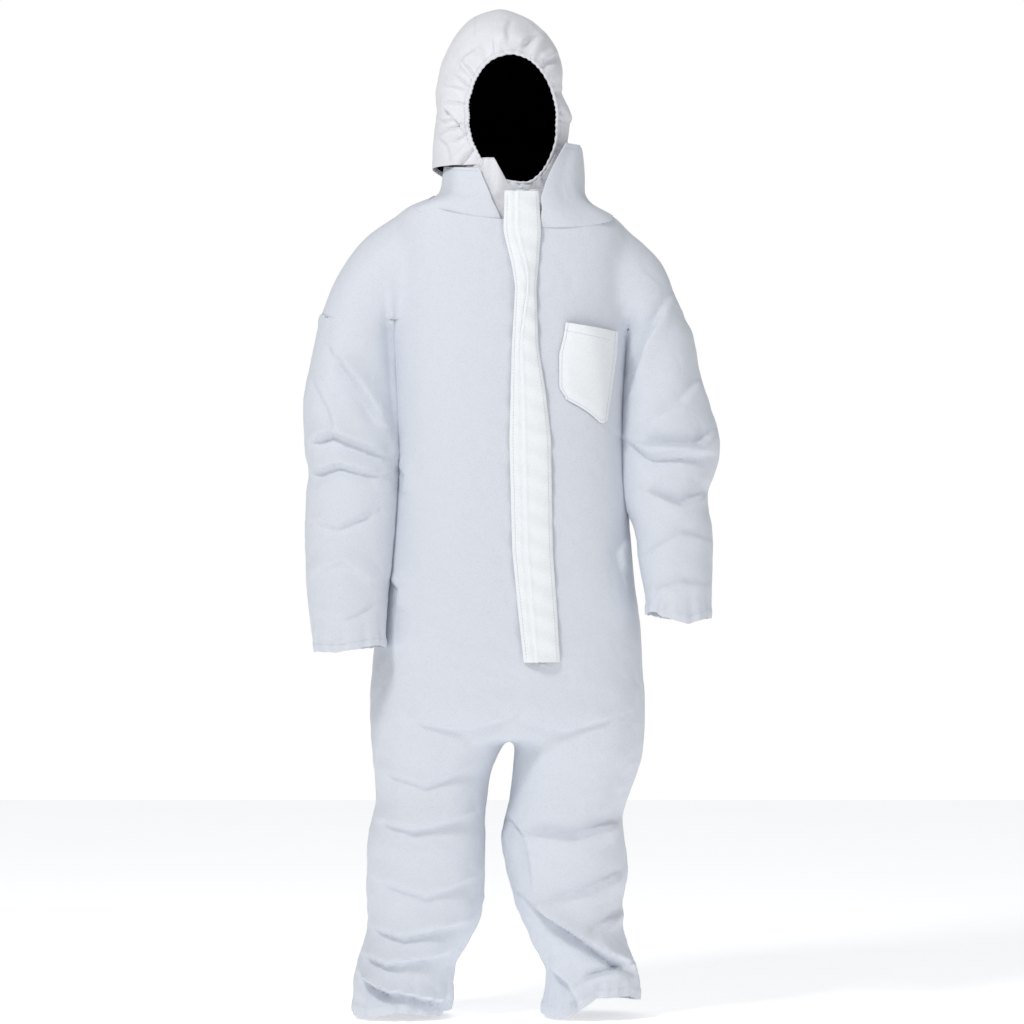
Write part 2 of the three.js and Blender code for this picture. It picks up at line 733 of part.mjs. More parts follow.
for (const [name, side, rows] of [["right", -1, rightLeg], ["left", 1, leftLeg]]) {
  const sectionAt = (z) => legSection(rows, z);
  const above = kneeLine + kneeReach;
  const below = kneeLine - kneeReach;
  const hemTop = legHem + ankleHemHeight;
  add("leg_top_" + name, legTop(side, rows), bodyColour);
  add("leg_upper_" + name, limbTube(sectionAt, crotchLine - seam, above, 1), bodyColour);
  add("leg_knee_" + name, limbTube(sectionAt, above - seam, below, 4), bodyColour);
  add("leg_lower_" + name, limbTube(sectionAt, below - seam, hemTop, 3), bodyColour);
  add("ankle_hem_" + name, limbTube(sectionAt, hemTop - seam, legHem, 1, hemExtra), bodyColour);
  add("ankle_elastic_" + name, elasticRing(sectionAt, legHem + 7, 12), elasticColour);
}

export default suit;
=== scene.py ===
# %% [markdown]
# # A hooded coverall of non-woven sheet
# The real thing is a one-piece suit of spun-bonded polyethylene: thin, crisp, paper-white sheet that is
# sewn from a few large panels. It is closed by a plastic coil zip under a stick-down flap, and gathered by
# elastic at the face, the wrists, the back of the waist and the ankles. This lesson dresses the measured
# frame: the frame gives every place and every size, and the cells below make the cloth that is seen.

# %% Load the frame
import json
import math

import bmesh
import bpy
import numpy as np
from mathutils import Matrix, Vector, noise
from mathutils.bvhtree import BVHTree

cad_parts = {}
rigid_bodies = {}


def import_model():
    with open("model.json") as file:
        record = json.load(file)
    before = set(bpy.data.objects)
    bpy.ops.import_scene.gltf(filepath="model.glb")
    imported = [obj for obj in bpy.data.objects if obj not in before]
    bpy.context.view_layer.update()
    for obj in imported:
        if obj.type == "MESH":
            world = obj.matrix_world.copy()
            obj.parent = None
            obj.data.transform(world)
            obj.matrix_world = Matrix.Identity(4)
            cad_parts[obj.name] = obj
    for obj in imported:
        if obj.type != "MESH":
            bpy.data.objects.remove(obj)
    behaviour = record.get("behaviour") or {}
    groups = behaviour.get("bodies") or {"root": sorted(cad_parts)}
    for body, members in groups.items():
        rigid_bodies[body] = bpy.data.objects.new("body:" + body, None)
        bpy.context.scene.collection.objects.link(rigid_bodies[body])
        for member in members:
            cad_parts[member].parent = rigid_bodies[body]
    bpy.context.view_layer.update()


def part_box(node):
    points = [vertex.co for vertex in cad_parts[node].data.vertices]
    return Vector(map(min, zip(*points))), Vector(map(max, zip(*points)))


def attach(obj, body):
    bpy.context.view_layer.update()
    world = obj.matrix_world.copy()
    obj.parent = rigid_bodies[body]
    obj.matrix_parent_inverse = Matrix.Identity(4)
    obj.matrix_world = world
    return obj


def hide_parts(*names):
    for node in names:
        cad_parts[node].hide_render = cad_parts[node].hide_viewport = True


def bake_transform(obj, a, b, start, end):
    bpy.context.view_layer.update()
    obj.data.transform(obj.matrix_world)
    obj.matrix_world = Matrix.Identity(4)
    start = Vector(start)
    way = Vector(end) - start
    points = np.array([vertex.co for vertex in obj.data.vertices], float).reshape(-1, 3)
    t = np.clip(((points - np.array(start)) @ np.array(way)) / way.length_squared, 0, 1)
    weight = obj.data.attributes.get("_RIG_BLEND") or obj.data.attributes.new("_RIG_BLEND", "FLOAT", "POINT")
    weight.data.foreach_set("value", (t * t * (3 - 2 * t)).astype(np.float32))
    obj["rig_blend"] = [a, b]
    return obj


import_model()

# %% [markdown]
# ## Colours and nodes
# Paint charts and web pages give colours in sRGB, while Blender mixes light in linear numbers, so one
# function turns a hex value to linear. A second one adds a node with its settings and its links. Every
# material below is written with these two.

# %% Hex colour to linear
def colour(hex_value):
    channels = [int(hex_value[i : i + 2], 16) / 255 for i in (1, 3, 5)]
    return [c / 12.92 if c <= 0.04045 else ((c + 0.055) / 1.055) ** 2.4 for c in channels] + [1.0]


print("pale cloth in linear", [round(c, 3) for c in colour("#E9ECF2")])

# %% One function that adds a node
def node(tree, kind, settings=None, **links):
    made = tree.nodes.new("ShaderNode" + kind)
    for name, value in (settings or {}).items():
        if isinstance(name, str) and hasattr(made, name):
            setattr(made, name, value)
        else:
            made.inputs[name].default_value = value
    for name, source in links.items():
        spaced = name.replace("_", " ")
        target = made.inputs[int(name[1:])] if name[1:].isdigit() else made.inputs[spaced]
        tree.links.new(source, target)
    return made


def new_material(name):
    material = bpy.data.materials.new(name)
    material.use_nodes = True
    material.node_tree.nodes.clear()
    return material, material.node_tree


# %% [markdown]
# ## The sheet
# Spun-bonded polyethylene is made by laying melted fibres on a belt and pressing them with a heated,
# engraved roller. Up close it shows small pressed dots about 1.6 mm apart between slightly fluffy fibres,
# and thicker and thinner clouds a few centimetres wide. It has no weave. It reflects like paper with a
# faint waxy sheen. The dots come from a Voronoi pattern, the fibres from stretched noise, the clouds from
# soft noise, and the small crumples that a crisp sheet keeps from a second, coarser Voronoi pattern.

# %% Non-woven polyethylene sheet
DOT = 0.0032  # pressed dots are 1.6 mm apart; drawn twice as coarse so that they show at this distance
FIBRE = 0.0012
CRUMPLE = 0.055


def sheet_material(name, tint, shade, crumple=0.5, roughness=0.62):
    material, tree = new_material(name)
    where = node(tree, "TexCoord").outputs["Object"]
    clouds = node(tree, "TexNoise", {"Scale": 26.0, "Detail": 3.0, "Roughness": 0.55}, Vector=where)
    fibres = node(tree, "TexNoise", {"Scale": 1 / FIBRE, "Detail": 2.0, "Distortion": 1.5}, Vector=where)
    dots = node(tree, "TexVoronoi", {"feature": "SMOOTH_F1", "Scale": 1 / DOT, "Smoothness": 0.3,
        "Randomness": 0.85}, Vector=where)
    pressed = node(tree, "MapRange", {"From Min": 0.12, "From Max": 0.42}, Value=dots.outputs["Distance"])
    warp = node(tree, "TexNoise", {"Scale": 9.0, "Detail": 2.0}, Vector=where)
    bent = node(tree, "Mix", {"data_type": "VECTOR", 0: 0.12}, i4=where, i5=warp.outputs["Color"])
    creases = node(tree, "TexVoronoi", {"feature": "DISTANCE_TO_EDGE", "Scale": 1 / CRUMPLE},
        Vector=bent.outputs[1])
    facets = node(tree, "MapRange", {"From Min": 0.0, "From Max": 0.35, "interpolation_type": "SMOOTHSTEP"},
        Value=creases.outputs["Distance"])
    base = node(tree, "Mix", {"data_type": "RGBA", 6: colour(shade), 7: colour(tint)},
        Factor=clouds.outputs["Fac"])
    speck = node(tree, "Mix", {"data_type": "RGBA", "blend_type": "MULTIPLY", 0: 0.05}, i6=base.outputs[2],
        i7=fibres.outputs["Fac"])
    dented = node(tree, "Mix", {"data_type": "RGBA", 7: colour(tint)}, i0=pressed.outputs["Result"],
        i6=speck.outputs[2])
    relief = node(tree, "Bump", {"Strength": 0.35, "Distance": 0.0003}, Height=pressed.outputs["Result"])
    fluff = node(tree, "Bump", {"Strength": 0.18, "Distance": 0.0003}, Height=fibres.outputs["Fac"],
        Normal=relief.outputs["Normal"])
    crisp = node(tree, "Bump", {"Strength": crumple, "Distance": 0.0035}, Height=facets.outputs["Result"],
        Normal=fluff.outputs["Normal"])
    soft = node(tree, "Bump", {"Strength": crumple, "Distance": 0.006}, Height=clouds.outputs["Fac"],
        Normal=crisp.outputs["Normal"])
    dull = node(tree, "MapRange", {"To Min": roughness + 0.1, "To Max": roughness - 0.06},
        Value=pressed.outputs["Result"])
    skin = node(tree, "BsdfPrincipled", {"Sheen Weight": 0.12, "Sheen Roughness": 0.45, "IOR": 1.51,
        "Specular IOR Level": 0.32},
        Base_Color=dented.outputs[2], Roughness=dull.outputs["Result"], Normal=soft.outputs["Normal"])
    node(tree, "OutputMaterial", Surface=skin.outputs["BSDF"])
    return material


body_sheet = sheet_material("spun-bonded sheet, body", "#DADEE6", "#CFD4DC", crumple=0.22)
hood_sheet = sheet_material("spun-bonded sheet, hood", "#E6E6EA", "#DADADF", crumple=0.15)
flap_sheet = sheet_material("laminated sheet, flap and pocket", "#F2F4F6", "#E8EAED", crumple=0.15,
    roughness=0.5)
print("sheet materials", body_sheet.name, hood_sheet.name, flap_sheet.name)

# %% [markdown]
# ## Measures of the hanging suit
# The frame is made of straight loft sections. Hanging cloth has softer outlines, so each outline is a
# profile: a few measured points from top to bottom, joined and rounded over a hand's breadth. The
# profiles keep to the frame's box, and heights that the frame knows are read from it.

# %% Profiles down the suit
HEIGHTS = np.arange(-1.45, 0.40, 0.002)


def profile(points, softness=0.012):
    heights, values = zip(*sorted(points))
    line = np.interp(HEIGHTS, heights, values)
    reach = max(1, int(softness / 0.002))
    kernel = np.hanning(2 * reach + 3)
    padded = np.pad(line, reach + 1, mode="edge")
    line = np.convolve(padded, kernel / kernel.sum(), mode="valid")
    return lambda z: np.interp(z, HEIGHTS, line)


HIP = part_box("front_panel_right")[0].z
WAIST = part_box("back_panel_upper")[0].z
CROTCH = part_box("leg_top_right")[0].z
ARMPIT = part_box("sleeve_head_right")[0].z
CUFFS = {"right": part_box("cuff_right")[0].z, "left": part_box("cuff_left")[0].z}
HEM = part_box("ankle_hem_right")[0].z
print("hip", round(HIP, 3), "waist", round(WAIST, 3), "crotch", round(CROTCH, 3), "armpit", round(ARMPIT, 3),
    "hem", round(HEM, 3))

trunk_right = profile([(.035, -.120), (.014, -.128), (.010, -.145), (.002, -.170), (-.010, -.196),
    (-.05, -.204), (-.1, -.207), (-.25, -.205), (-.43, -.200), (-.56, -.212), (-.62, -.222), (-.7, -.232),
    (-.8, -.2425), (-.93, -.246)])
trunk_left = profile([(.02, .120), (.0, .134), (-.006, .150), (-.018, .175), (-.035, .196), (-.06, .203),
    (-.1, .206), (-.25, .200), (-.36, .194), (-.46, .198), (-.51, .206), (-.54, .203), (-.65, .212),
    (-.74, .224), (-.82, .227), (-.93, .230)])
trunk_depth = profile([(.03, .106), (-.012, .110), (-.045, .122), (-.11, .138), (-.25, .141), (-.48, .146),
    (-.76, .154), (-.93, .148)], .03)
zip_depth = profile([(.03, -.1155), (.022, -.116), (-.79, -.152), (-.93, -.149)])
zip_middle = profile([(.022, .014), (-.79, .052)])

right_leg = [profile(p) for p in (
    [(-.9, -.246), (-.98, -.239), (-1.031, -.234), (-1.057, -.241), (-1.083, -.250), (-1.187, -.253),
    (-1.239, -.2495), (-1.265, -.253), (-1.291, -.262), (-1.317, -.270), (-1.343, -.2755), (-1.369, -.2755),
    (-1.41, -.274)],
    [(-.9, -.006), (-.927, -.012), (-.953, -.024), (-.979, -.036), (-1.005, -.042), (-1.057, -.047),
    (-1.135, -.047), (-1.213, -.049), (-1.239, -.0555), (-1.265, -.069), (-1.291, -.083), (-1.317, -.1005),
    (-1.343, -.104), (-1.369, -.1005), (-1.41, -.112)])]
left_leg = [profile(p) for p in (
    [(-.9, .004), (-.927, .006), (-1.031, -.0035), (-1.057, -.0104), (-1.083, -.019), (-1.109, -.019),
    (-1.135, -.0139), (-1.187, 0), (-1.213, .005), (-1.239, .0173), (-1.265, .031), (-1.291, .040),
    (-1.317, .058), (-1.343, .061), (-1.41, .050)],
    [(-.9, .2305), (-.953, .227), (-.979, .218), (-1.005, .2097), (-1.031, .199), (-1.057, .1906),
    (-1.083, .1906), (-1.109, .1976), (-1.161, .2028), (-1.187, .194), (-1.213, .1906), (-1.265, .192),
    (-1.291, .2045), (-1.317, .213), (-1.343, .220), (-1.41, .219)])]
leg_depth = profile([(-.9, .128), (-.979, .114), (-1.135, .104), (-1.291, .094), (-1.41, .088)], .03)

sleeve_outer = {
    "right": profile([(-.216, -.339), (-.338, -.364), (-.442, -.359), (-.459, -.347), (-.478, -.355),
    (-.563, -.359), (-.685, -.353), (-.771, -.338)]),
    "left": profile([(-.216, .314), (-.303, .329), (-.355, .347), (-.407, .363), (-.459, .356), (-.494, .338),
    (-.52, .338), (-.563, .348), (-.65, .345), (-.719, .341)]),
}
sleeve_inner = {
    "right": profile([(-.216, -.200), (-.338, -.192), (-.442, -.190), (-.563, -.199), (-.685, -.212),
    (-.771, -.216)]),
    "left": profile([(-.216, .196), (-.338, .188), (-.41, .184), (-.49, .186), (-.53, .195), (-.563, .212),
    (-.615, .216), (-.693, .229), (-.719, .230)]),
}
sleeve_forward = {
    "right": profile([(-.216, 0), (-.30, -.008), (-.40, -.020), (-.563, -.055), (-.685, -.090), (-.771, -.110)],
    .03),
    "left": profile([(-.216, 0), (-.30, -.006), (-.41, -.018), (-.49, -.036), (-.615, -.072), (-.719, -.104)],
    .03),
}
sleeve_depth = profile([(-.216, .072), (-.338, .076), (-.45, .072), (-.57, .065), (-.77, .058)], .03)
print("shoulder width", round(float(trunk_left(-.1) - trunk_right(-.1)), 3))

# %% [markdown]
# ## From rolled sheets to one skin
# A tailor's dummy would be the quick way to get the body of the suit. Here each limb is a flat grid that is
# rolled into a closed tube and bent along its profiles. The tubes are joined, and a voxel remesh melts them
# into one skin with rounded joins at the armholes and the crotch, as the sewn suit has when it is filled.
# The arms are held a little away from the trunk while this is done, so that sleeve and side don't melt
# together, and are let down again afterwards.

# %% A sheet rolled into a tube
def rolled(columns, rows, place):
    bm = bmesh.new()
    bmesh.ops.create_grid(bm, x_segments=columns, y_segments=rows, size=1)
    flat = np.array([v.co for v in bm.verts])
    bent = place((flat[:, 0] + 1) / 2, (1 - flat[:, 1]) / 2)
    for vertex, co in zip(bm.verts, np.stack(bent, axis=1)):
        vertex.co = co
    bmesh.ops.remove_doubles(bm, verts=bm.verts, dist=1e-5)
    bmesh.ops.holes_fill(bm, edges=[e for e in bm.edges if e.is_boundary], sides=0)
    bmesh.ops.recalc_face_normals(bm, faces=bm.faces)
    return bm


SQUARENESS = 2.6  # 2 is an ellipse, and more is squarer


def squared(value, squareness=SQUARENESS):
    return np.sign(value) * np.abs(value) ** (2 / squareness)


def trunk_frame(z):
    """Middle, half width, half depth and centre of the trunk's rounded-square section at a height."""
    left, right, half_depth = trunk_left(z), trunk_right(z), trunk_depth(z)
    middle, half_width = (left + right) / 2, (left - right) / 2
    share = np.clip(np.abs((zip_middle(z) - middle) / half_width), 0, 1)
    centre = zip_depth(z) + half_depth * (1 - share**SQUARENESS) ** (1 / SQUARENESS)
    return middle, half_width, half_depth, centre


def trunk_section(angle, z, depth=0.0):
    middle, half_width, half_depth, centre = trunk_frame(z)
    x = middle + (half_width - depth) * squared(np.cos(angle))
    return x, centre + (half_depth - depth) * squared(np.sin(angle))


def trunk_place(around, down):
    z = 0.03 + (-0.925 - 0.03) * down
    x, y = trunk_section(2 * math.pi * around, z)
    closing = np.clip((z + 0.925) / 0.06, 0, 1) ** 0.5  # the seat rounds in under the crotch
    middle = (trunk_left(z) + trunk_right(z)) / 2
    return middle + (x - middle) * (0.94 + 0.06 * closing), y * (0.8 + 0.2 * closing), z


def leg_place(inner_outer):
    def place(around, down):
        z = -0.83 + (HEM - 0.02 + 0.83) * down
        a, b = inner_outer[0](z), inner_outer[1](z)
        angle = 2 * math.pi * around
        return (a + b) / 2 + abs(b - a) / 2 * squared(np.cos(angle), 2.3), leg_depth(z) * squared(np.sin(angle),
            2.3) - 0.004, z
    return place


# %% The sleeve: its head turns from the upright armhole to the level top of the arm
SPREAD = 0.22
# How far the top of the sleeve head reaches out from the armpit as it turns from upright to level
HEAD_TURNS = range(0, 91, 10)
HEAD_REACH = {"right": (HEAD_TURNS, [.2245, .2107, .2001, .1913, .1801, .1686, .1610, .1544, .1500, .1501]),
              "left": (HEAD_TURNS, [.2171, .1932, .1796, .1677, .1582, .1446, .1305, .1269, .1225, .1269])}


def spread(z):
    return SPREAD * np.clip(ARMPIT + 0.03 - z, 0, None)


def sleeve_place(name):
    side = 1 if name == "left" else -1
    end = CUFFS[name] - 0.015
    pivot = abs(sleeve_inner[name](ARMPIT)) - 0.012

    def place(around, down):
        angle = 2 * math.pi * around
        head = np.clip(down / 0.3, 0, 1)
        turn = head * math.pi / 2
        length = np.interp(np.degrees(turn), *HEAD_REACH[name]) - 0.012
        reach = 0.012 + length / 2 + length / 2 * np.cos(angle)
        depth = 0.068 + 0.004 * head
        head_x = pivot + reach * np.sin(turn) - 0.05 * (1 - head)
        head_y = depth * np.sin(angle)
        head_z = ARMPIT + reach * np.cos(turn)
        head_x = head_x + spread(head_z)
        z = ARMPIT + (end - ARMPIT) * np.clip((down - 0.3) / 0.7, 0, 1)
        outer, inner = np.abs(sleeve_outer[name](z)), np.abs(sleeve_inner[name](z))
        arm_x = (outer + inner) / 2 + (outer - inner) / 2 * np.cos(angle) + spread(z)
        arm_y = sleeve_forward[name](z) + sleeve_depth(z) * np.sin(angle)
        upper = down < 0.3
        return side * np.where(upper, head_x, arm_x), np.where(upper, head_y, arm_y), np.where(upper, head_z, z)
    return place


# %% Join the tubes and remesh them into one skin
def mesh_object(name, bm):
    mesh = bpy.data.meshes.new(name)
    bm.to_mesh(mesh)
    bm.free()
    made = bpy.data.objects.new(name, mesh)
    bpy.context.scene.collection.objects.link(made)
    return made


def finished(made, *modifiers):
    for kind, settings in modifiers:
        modifier = made.modifiers.new(kind, kind)
        for key, value in settings.items():
            setattr(modifier, key, value)
    shaped = bpy.data.meshes.new_from_object(made.evaluated_get(bpy.context.evaluated_depsgraph_get()))
    made.modifiers.clear()
    made.data = shaped
    return made


def points(mesh):
    co = np.empty(len(mesh.vertices) * 3, np.float32)
    mesh.vertices.foreach_get("co", co)
    return co.reshape(-1, 3).astype(float)


def normals(mesh):
    n = np.empty(len(mesh.vertices) * 3, np.float32)
    mesh.vertices.foreach_get("normal", n)
    return n.reshape(-1, 3).astype(float)


def place_points(mesh, co):
    mesh.vertices.foreach_set("co", np.asarray(co, np.float32).ravel())
    mesh.update()


VOXEL, SMOOTHING = 0.0046, 75  # the passes of smoothing take the remesh's steps out
whole = bmesh.new()
for tube in (rolled(120, 130, trunk_place), rolled(72, 80, leg_place(right_leg)),
    rolled(72, 80, leg_place(left_leg)),
             rolled(64, 100, sleeve_place("right")), rolled(64, 100, sleeve_place("left"))):
    part = bpy.data.meshes.new("tube")
    tube.to_mesh(part)
    tube.free()
    whole.from_mesh(part)
skin = mesh_object("suit_skin", whole)
finished(skin, ("REMESH", {"mode": "VOXEL", "voxel_size": VOXEL, "use_smooth_shade": True}),
    ("SMOOTH", {"factor": 0.5, "iterations": SMOOTHING}))
print("skin", len(skin.data.vertices), "points")

# %% [markdown]
# ## Which skin is sleeve, and which is trunk
# While the arms are held out, sleeve and trunk are easy to tell apart: above the armpit by the armhole's
# plane, below it by the middle of the gap. Then the arms are let down by taking the spread away again.

# %% Let the arms down
ARMHOLE = 0.2045


def sleeve_labels(co):
    label = np.zeros(len(co), int)
    for name, side in (("right", -1), ("left", 1)):
        edge = trunk_left(co[:, 2]) if side > 0 else -trunk_right(co[:, 2])
        gap = (edge + np.abs(sleeve_inner[name](co[:, 2])) + spread(co[:, 2])) / 2
        line = np.where(co[:, 2] > ARMPIT, ARMHOLE, np.maximum(gap, ARMHOLE))
        line = np.where(co[:, 2] < CUFFS[name] - 0.05, 9, line)
        label[side * co[:, 0] > line] = side
    return label


co = points(skin.data)
sleeve_side = sleeve_labels(co)
co[:, 0] -= sleeve_side * spread(co[:, 2])
place_points(skin.data, co)
print("sleeve points", int((sleeve_side != 0).sum()), "of", len(co))

# %% [markdown]
# ## Open ends
# The skin is still closed at the neck, the cuffs and the ankles. Each end is cut off with a plane. The neck
# seam dips at the front, so the points there are raised by the dip, cut level, and lowered again: the same
# trick as folding cloth before cutting it straight.

# %% Cut the neck, cuffs and ankles open
NECK = 0.006


def neck_dip(x, y):
    return 0.038 * np.clip(-y / 0.118, 0, 1) ** 2 + 0.08 * np.clip(x, -0.15, 0.15)


def end_cut(bm, inside, height, upwards):
    verts = [v for v in bm.verts if inside(v)]
    chosen = set(verts)
    edges = [e for e in bm.edges if e.verts[0] in chosen and e.verts[1] in chosen]
    faces = [f for f in bm.faces if all(v in chosen for v in f.verts)]
    bmesh.ops.bisect_plane(bm, geom=verts + edges + faces, dist=1e-5, plane_co=(0, 0, height),
                           plane_no=(0, 0, 1 if upwards else -1), clear_outer=True)


skin.data.attributes.new("sleeve", "FLOAT", "POINT").data.foreach_set("value", sleeve_side.astype(np.float32))
bm = bmesh.new()
bm.from_mesh(skin.data)
which = bm.verts.layers.float["sleeve"]
for v in bm.verts:
    v.co.z += float(neck_dip(v.co.x, v.co.y)) if v.co.z > -0.2 else 0.0
end_cut(bm, lambda v: v.co.z > -0.08 and abs(v.co.x) < 0.165 and v[which] == 0, NECK, True)
for v in bm.verts:
    v.co.z -= float(neck_dip(v.co.x, v.co.y)) if v.co.z > -0.2 + float(neck_dip(v.co.x, v.co.y)) else 0.0
for name, side in (("right", -1), ("left", 1)):
    end_cut(bm, lambda v: v[which] == side and v.co.z < -0.6, CUFFS[name], False)
end_cut(bm, lambda v: v[which] == 0 and v.co.z < -1.2, HEM, False)
ZIP_SLOT = 0.0075
for side in (-1, 1):  # two straight cuts beside the zip leave clean edges for the slot between the fronts
    chest = [v for v in bm.verts if v.co.y < -0.05 and v.co.z > -0.83 and abs(v.co.x - 0.03) < 0.08 and v[which] == 0]
    chosen = set(chest)
    geom = (chest + [e for e in bm.edges if chosen.issuperset(e.verts)]
            + [f for f in bm.faces if chosen.issuperset(f.verts)])
    bmesh.ops.bisect_plane(bm, geom=geom, dist=1e-5,
        plane_co=(float(zip_middle(-0.4)) + side * ZIP_SLOT, 0, -0.4),
                           plane_no=(0.812, 0, 0.038))
bm.to_mesh(skin.data)
bm.free()
sleeve_side = np.empty(len(skin.data.vertices), np.float32)
skin.data.attributes["sleeve"].data.foreach_get("value", sleeve_side)
sleeve_side = np.rint(sleeve_side).astype(int)
print("open skin", len(sleeve_side), "points")

# %% [markdown]
# ## Folds
# A crisp sheet folds where it is pushed together: slanting ridges at the elbows, a deep tuck below them,
# stacked creases over the ankles, and almost nothing over the chest. A cloth simulation can make such
# folds, but not at chosen places. Here each main fold is a stroke along a line across the front, which
# lifts the skin on one side of the line and tucks it in on the other. Between the strokes, ridged noise
# breaks the surface into the small flat facets that stiff sheet shows.

# %% Strokes that lift and tuck the skin
def stroke(co, path, width, lift, tuck=0.0, edge=0.003):
    flat = co[:, [0, 2]]
    path = np.array(path, float)
    lengths = np.linalg.norm(np.diff(path, axis=0), axis=1)
    best = np.full(len(co), 9.0)
    side, along = np.zeros(len(co)), np.zeros(len(co))
    done = 0.0
    for a, b, length in zip(path[:-1], path[1:], lengths):
        direction = (b - a) / length
        share = np.clip((flat - a) @ direction, 0, length)
        away = flat - a - share[:, None] * direction
        distance = np.linalg.norm(away, axis=1)
        near = distance < best
        best[near] = distance[near]
        side[near] = (direction[0] * away[near, 1] - direction[1] * away[near, 0])
        along[near] = (done + share[near]) / lengths.sum()
        done += length
    taper = np.clip(np.minimum(along, 1 - along) * 5, 0, 1)
    taper = 0.25 + 0.75 * taper * taper * (3 - 2 * taper)
    signed = np.sign(side) * best
    above = 0.5 * (1 + np.tanh(signed / edge))
    shape = (lift * above * np.exp(-((best / width) ** 2))
             - tuck * (1 - above) * np.exp(-((best / (0.8 * width)) ** 2)))
    return shape * taper


FOLD_STRENGTH = 1.75
# Each stroke: (points across the front as x and z in metres, width, lift above the line, tuck below it)
FRONT_STROKES = [
    # sleeve on the wearer's right: from the shoulder, over the elbow, to the cuff
    ([(-.305, -.262), (-.262, -.318), (-.222, -.385)], .022, .0075, .007),
    ([(-.215, -.150), (-.208, -.250), (-.198, -.420)], .014, .0040, .002),
    ([(-.352, -.415), (-.312, -.398), (-.262, -.418), (-.212, -.436)], .022, .0070, .006),
    ([(-.345, -.300), (-.318, -.350), (-.300, -.395)], .020, .0035, .003),
    ([(-.352, -.470), (-.300, -.452), (-.222, -.470)], .018, .0050, .006),
    ([(-.350, -.545), (-.300, -.560), (-.235, -.530)], .022, .0035, .003),
    ([(-.345, -.640), (-.290, -.618), (-.235, -.650)], .022, .0030, .0025),
    ([(-.340, -.700), (-.285, -.716), (-.232, -.690)], .018, .0025, .002),
    # sleeve on the wearer's left
    ([(.272, -.165), (.232, -.235), (.205, -.320)], .020, .0060, .0055),
    ([(.330, -.300), (.290, -.345), (.240, -.372)], .024, .0040, .003),
    ([(.352, -.392), (.320, -.418), (.222, -.414)], .020, .0065, .006),
    ([(.192, -.405), (.235, -.438), (.335, -.432)], .018, .0050, .006),
    ([(.335, -.500), (.290, -.520), (.228, -.492)], .018, .0045, .005),
    ([(.340, -.580), (.290, -.566), (.232, -.600)], .022, .0030, .0025),
    ([(.338, -.660), (.290, -.648), (.238, -.672)], .018, .0025, .002),
    # puffs at the sides of the waist
    ([(-.205, -.440), (-.185, -.470), (-.190, -.505)], .020, .0035, .002),
    ([(-.215, -.640), (-.195, -.665), (-.200, -.705)], .024, .0040, .002),
    ([(.205, -.560), (.185, -.600), (.192, -.640)], .022, .0035, .002),
    # crotch and thighs
    ([(-.180, -.890), (-.090, -.903), (-.005, -.882)], .030, .0030, .003),
    ([(.010, -.890), (.090, -.905), (.180, -.880)], .030, .0025, .0025),
    ([(-.235, -.975), (-.150, -1.000), (-.060, -.965)], .030, .0030, .003),
    # wearer's right leg: knee, shin and the stack over the ankle
    ([(-.240, -1.062), (-.170, -1.075), (-.060, -1.050)], .030, .0050, .004),
    ([(-.235, -1.165), (-.150, -1.190), (-.058, -1.160)], .030, .0035, .003),
    ([(-.250, -1.245), (-.190, -1.262), (-.085, -1.238)], .024, .0050, .005),
    ([(-.268, -1.290), (-.215, -1.310), (-.110, -1.292)], .022, .0060, .006),
    ([(-.262, -1.328), (-.208, -1.360), (-.104, -1.378)], .018, .0085, .009),
    ([(-.265, -1.330), (-.240, -1.352), (-.205, -1.368)], .014, .0050, .010),
    # wearer's left leg: dark inner knee, a long crisp ridge down to the outer ankle
    ([(-.020, -1.045), (.020, -1.090), (.030, -1.150)], .028, .0030, .009),
    ([(.190, -1.062), (.110, -1.090), (.020, -1.080)], .026, .0060, .005),
    ([(.014, -1.187), (.080, -1.240), (.150, -1.285), (.222, -1.345)], .020, .0110, .012),
    ([(.195, -1.150), (.130, -1.185), (.060, -1.200)], .026, .0045, .004),
    ([(.196, -1.215), (.160, -1.240), (.130, -1.262)], .022, .0040, .004),
    ([(.052, -1.300), (.095, -1.340), (.118, -1.398)], .018, .0060, .007),
    ([(.205, -1.318), (.160, -1.338), (.120, -1.345)], .016, .0045, .005),
]
BACK_STROKES = [
    ([(-.15, -.20), (-.05, -.30), (.06, -.33)], .035, .0030, .002),
    ([(.16, -.18), (.08, -.26), (.00, -.30)], .035, .0030, .002),
    ([(-.18, -.56), (-.06, -.60), (.10, -.57)], .030, .0050, .004),
    ([(.19, -.66), (.08, -.72), (-.02, -.74)], .030, .0050, .004),
    ([(-.20, -.78), (-.10, -.82), (-.01, -.80)], .028, .0050, .005),
    ([(-.33, -.42), (-.27, -.44), (-.22, -.41)], .020, .0060, .006),
    ([(.33, -.40), (.27, -.43), (.22, -.40)], .020, .0060, .006),
    ([(-.23, -1.03), (-.15, -1.06), (-.05, -1.02)], .028, .0070, .007),
    ([(.18, -1.04), (.10, -1.07), (.01, -1.03)], .028, .0070, .007),
    ([(-.24, -1.12), (-.15, -1.14), (-.06, -1.11)], .026, .0050, .005),
    ([(.19, -1.12), (.10, -1.15), (.01, -1.11)], .026, .0050, .005),
    ([(-.26, -1.28), (-.18, -1.31), (-.09, -1.27)], .024, .0060, .006),
    ([(.20, -1.27), (.12, -1.31), (.05, -1.29)], .024, .0060, .006),
    ([(-.27, -1.34), (-.19, -1.36), (-.11, -1.33)], .020, .0060, .007),
    ([(.21, -1.33), (.14, -1.36), (.07, -1.34)], .020, .0060, .007),
]


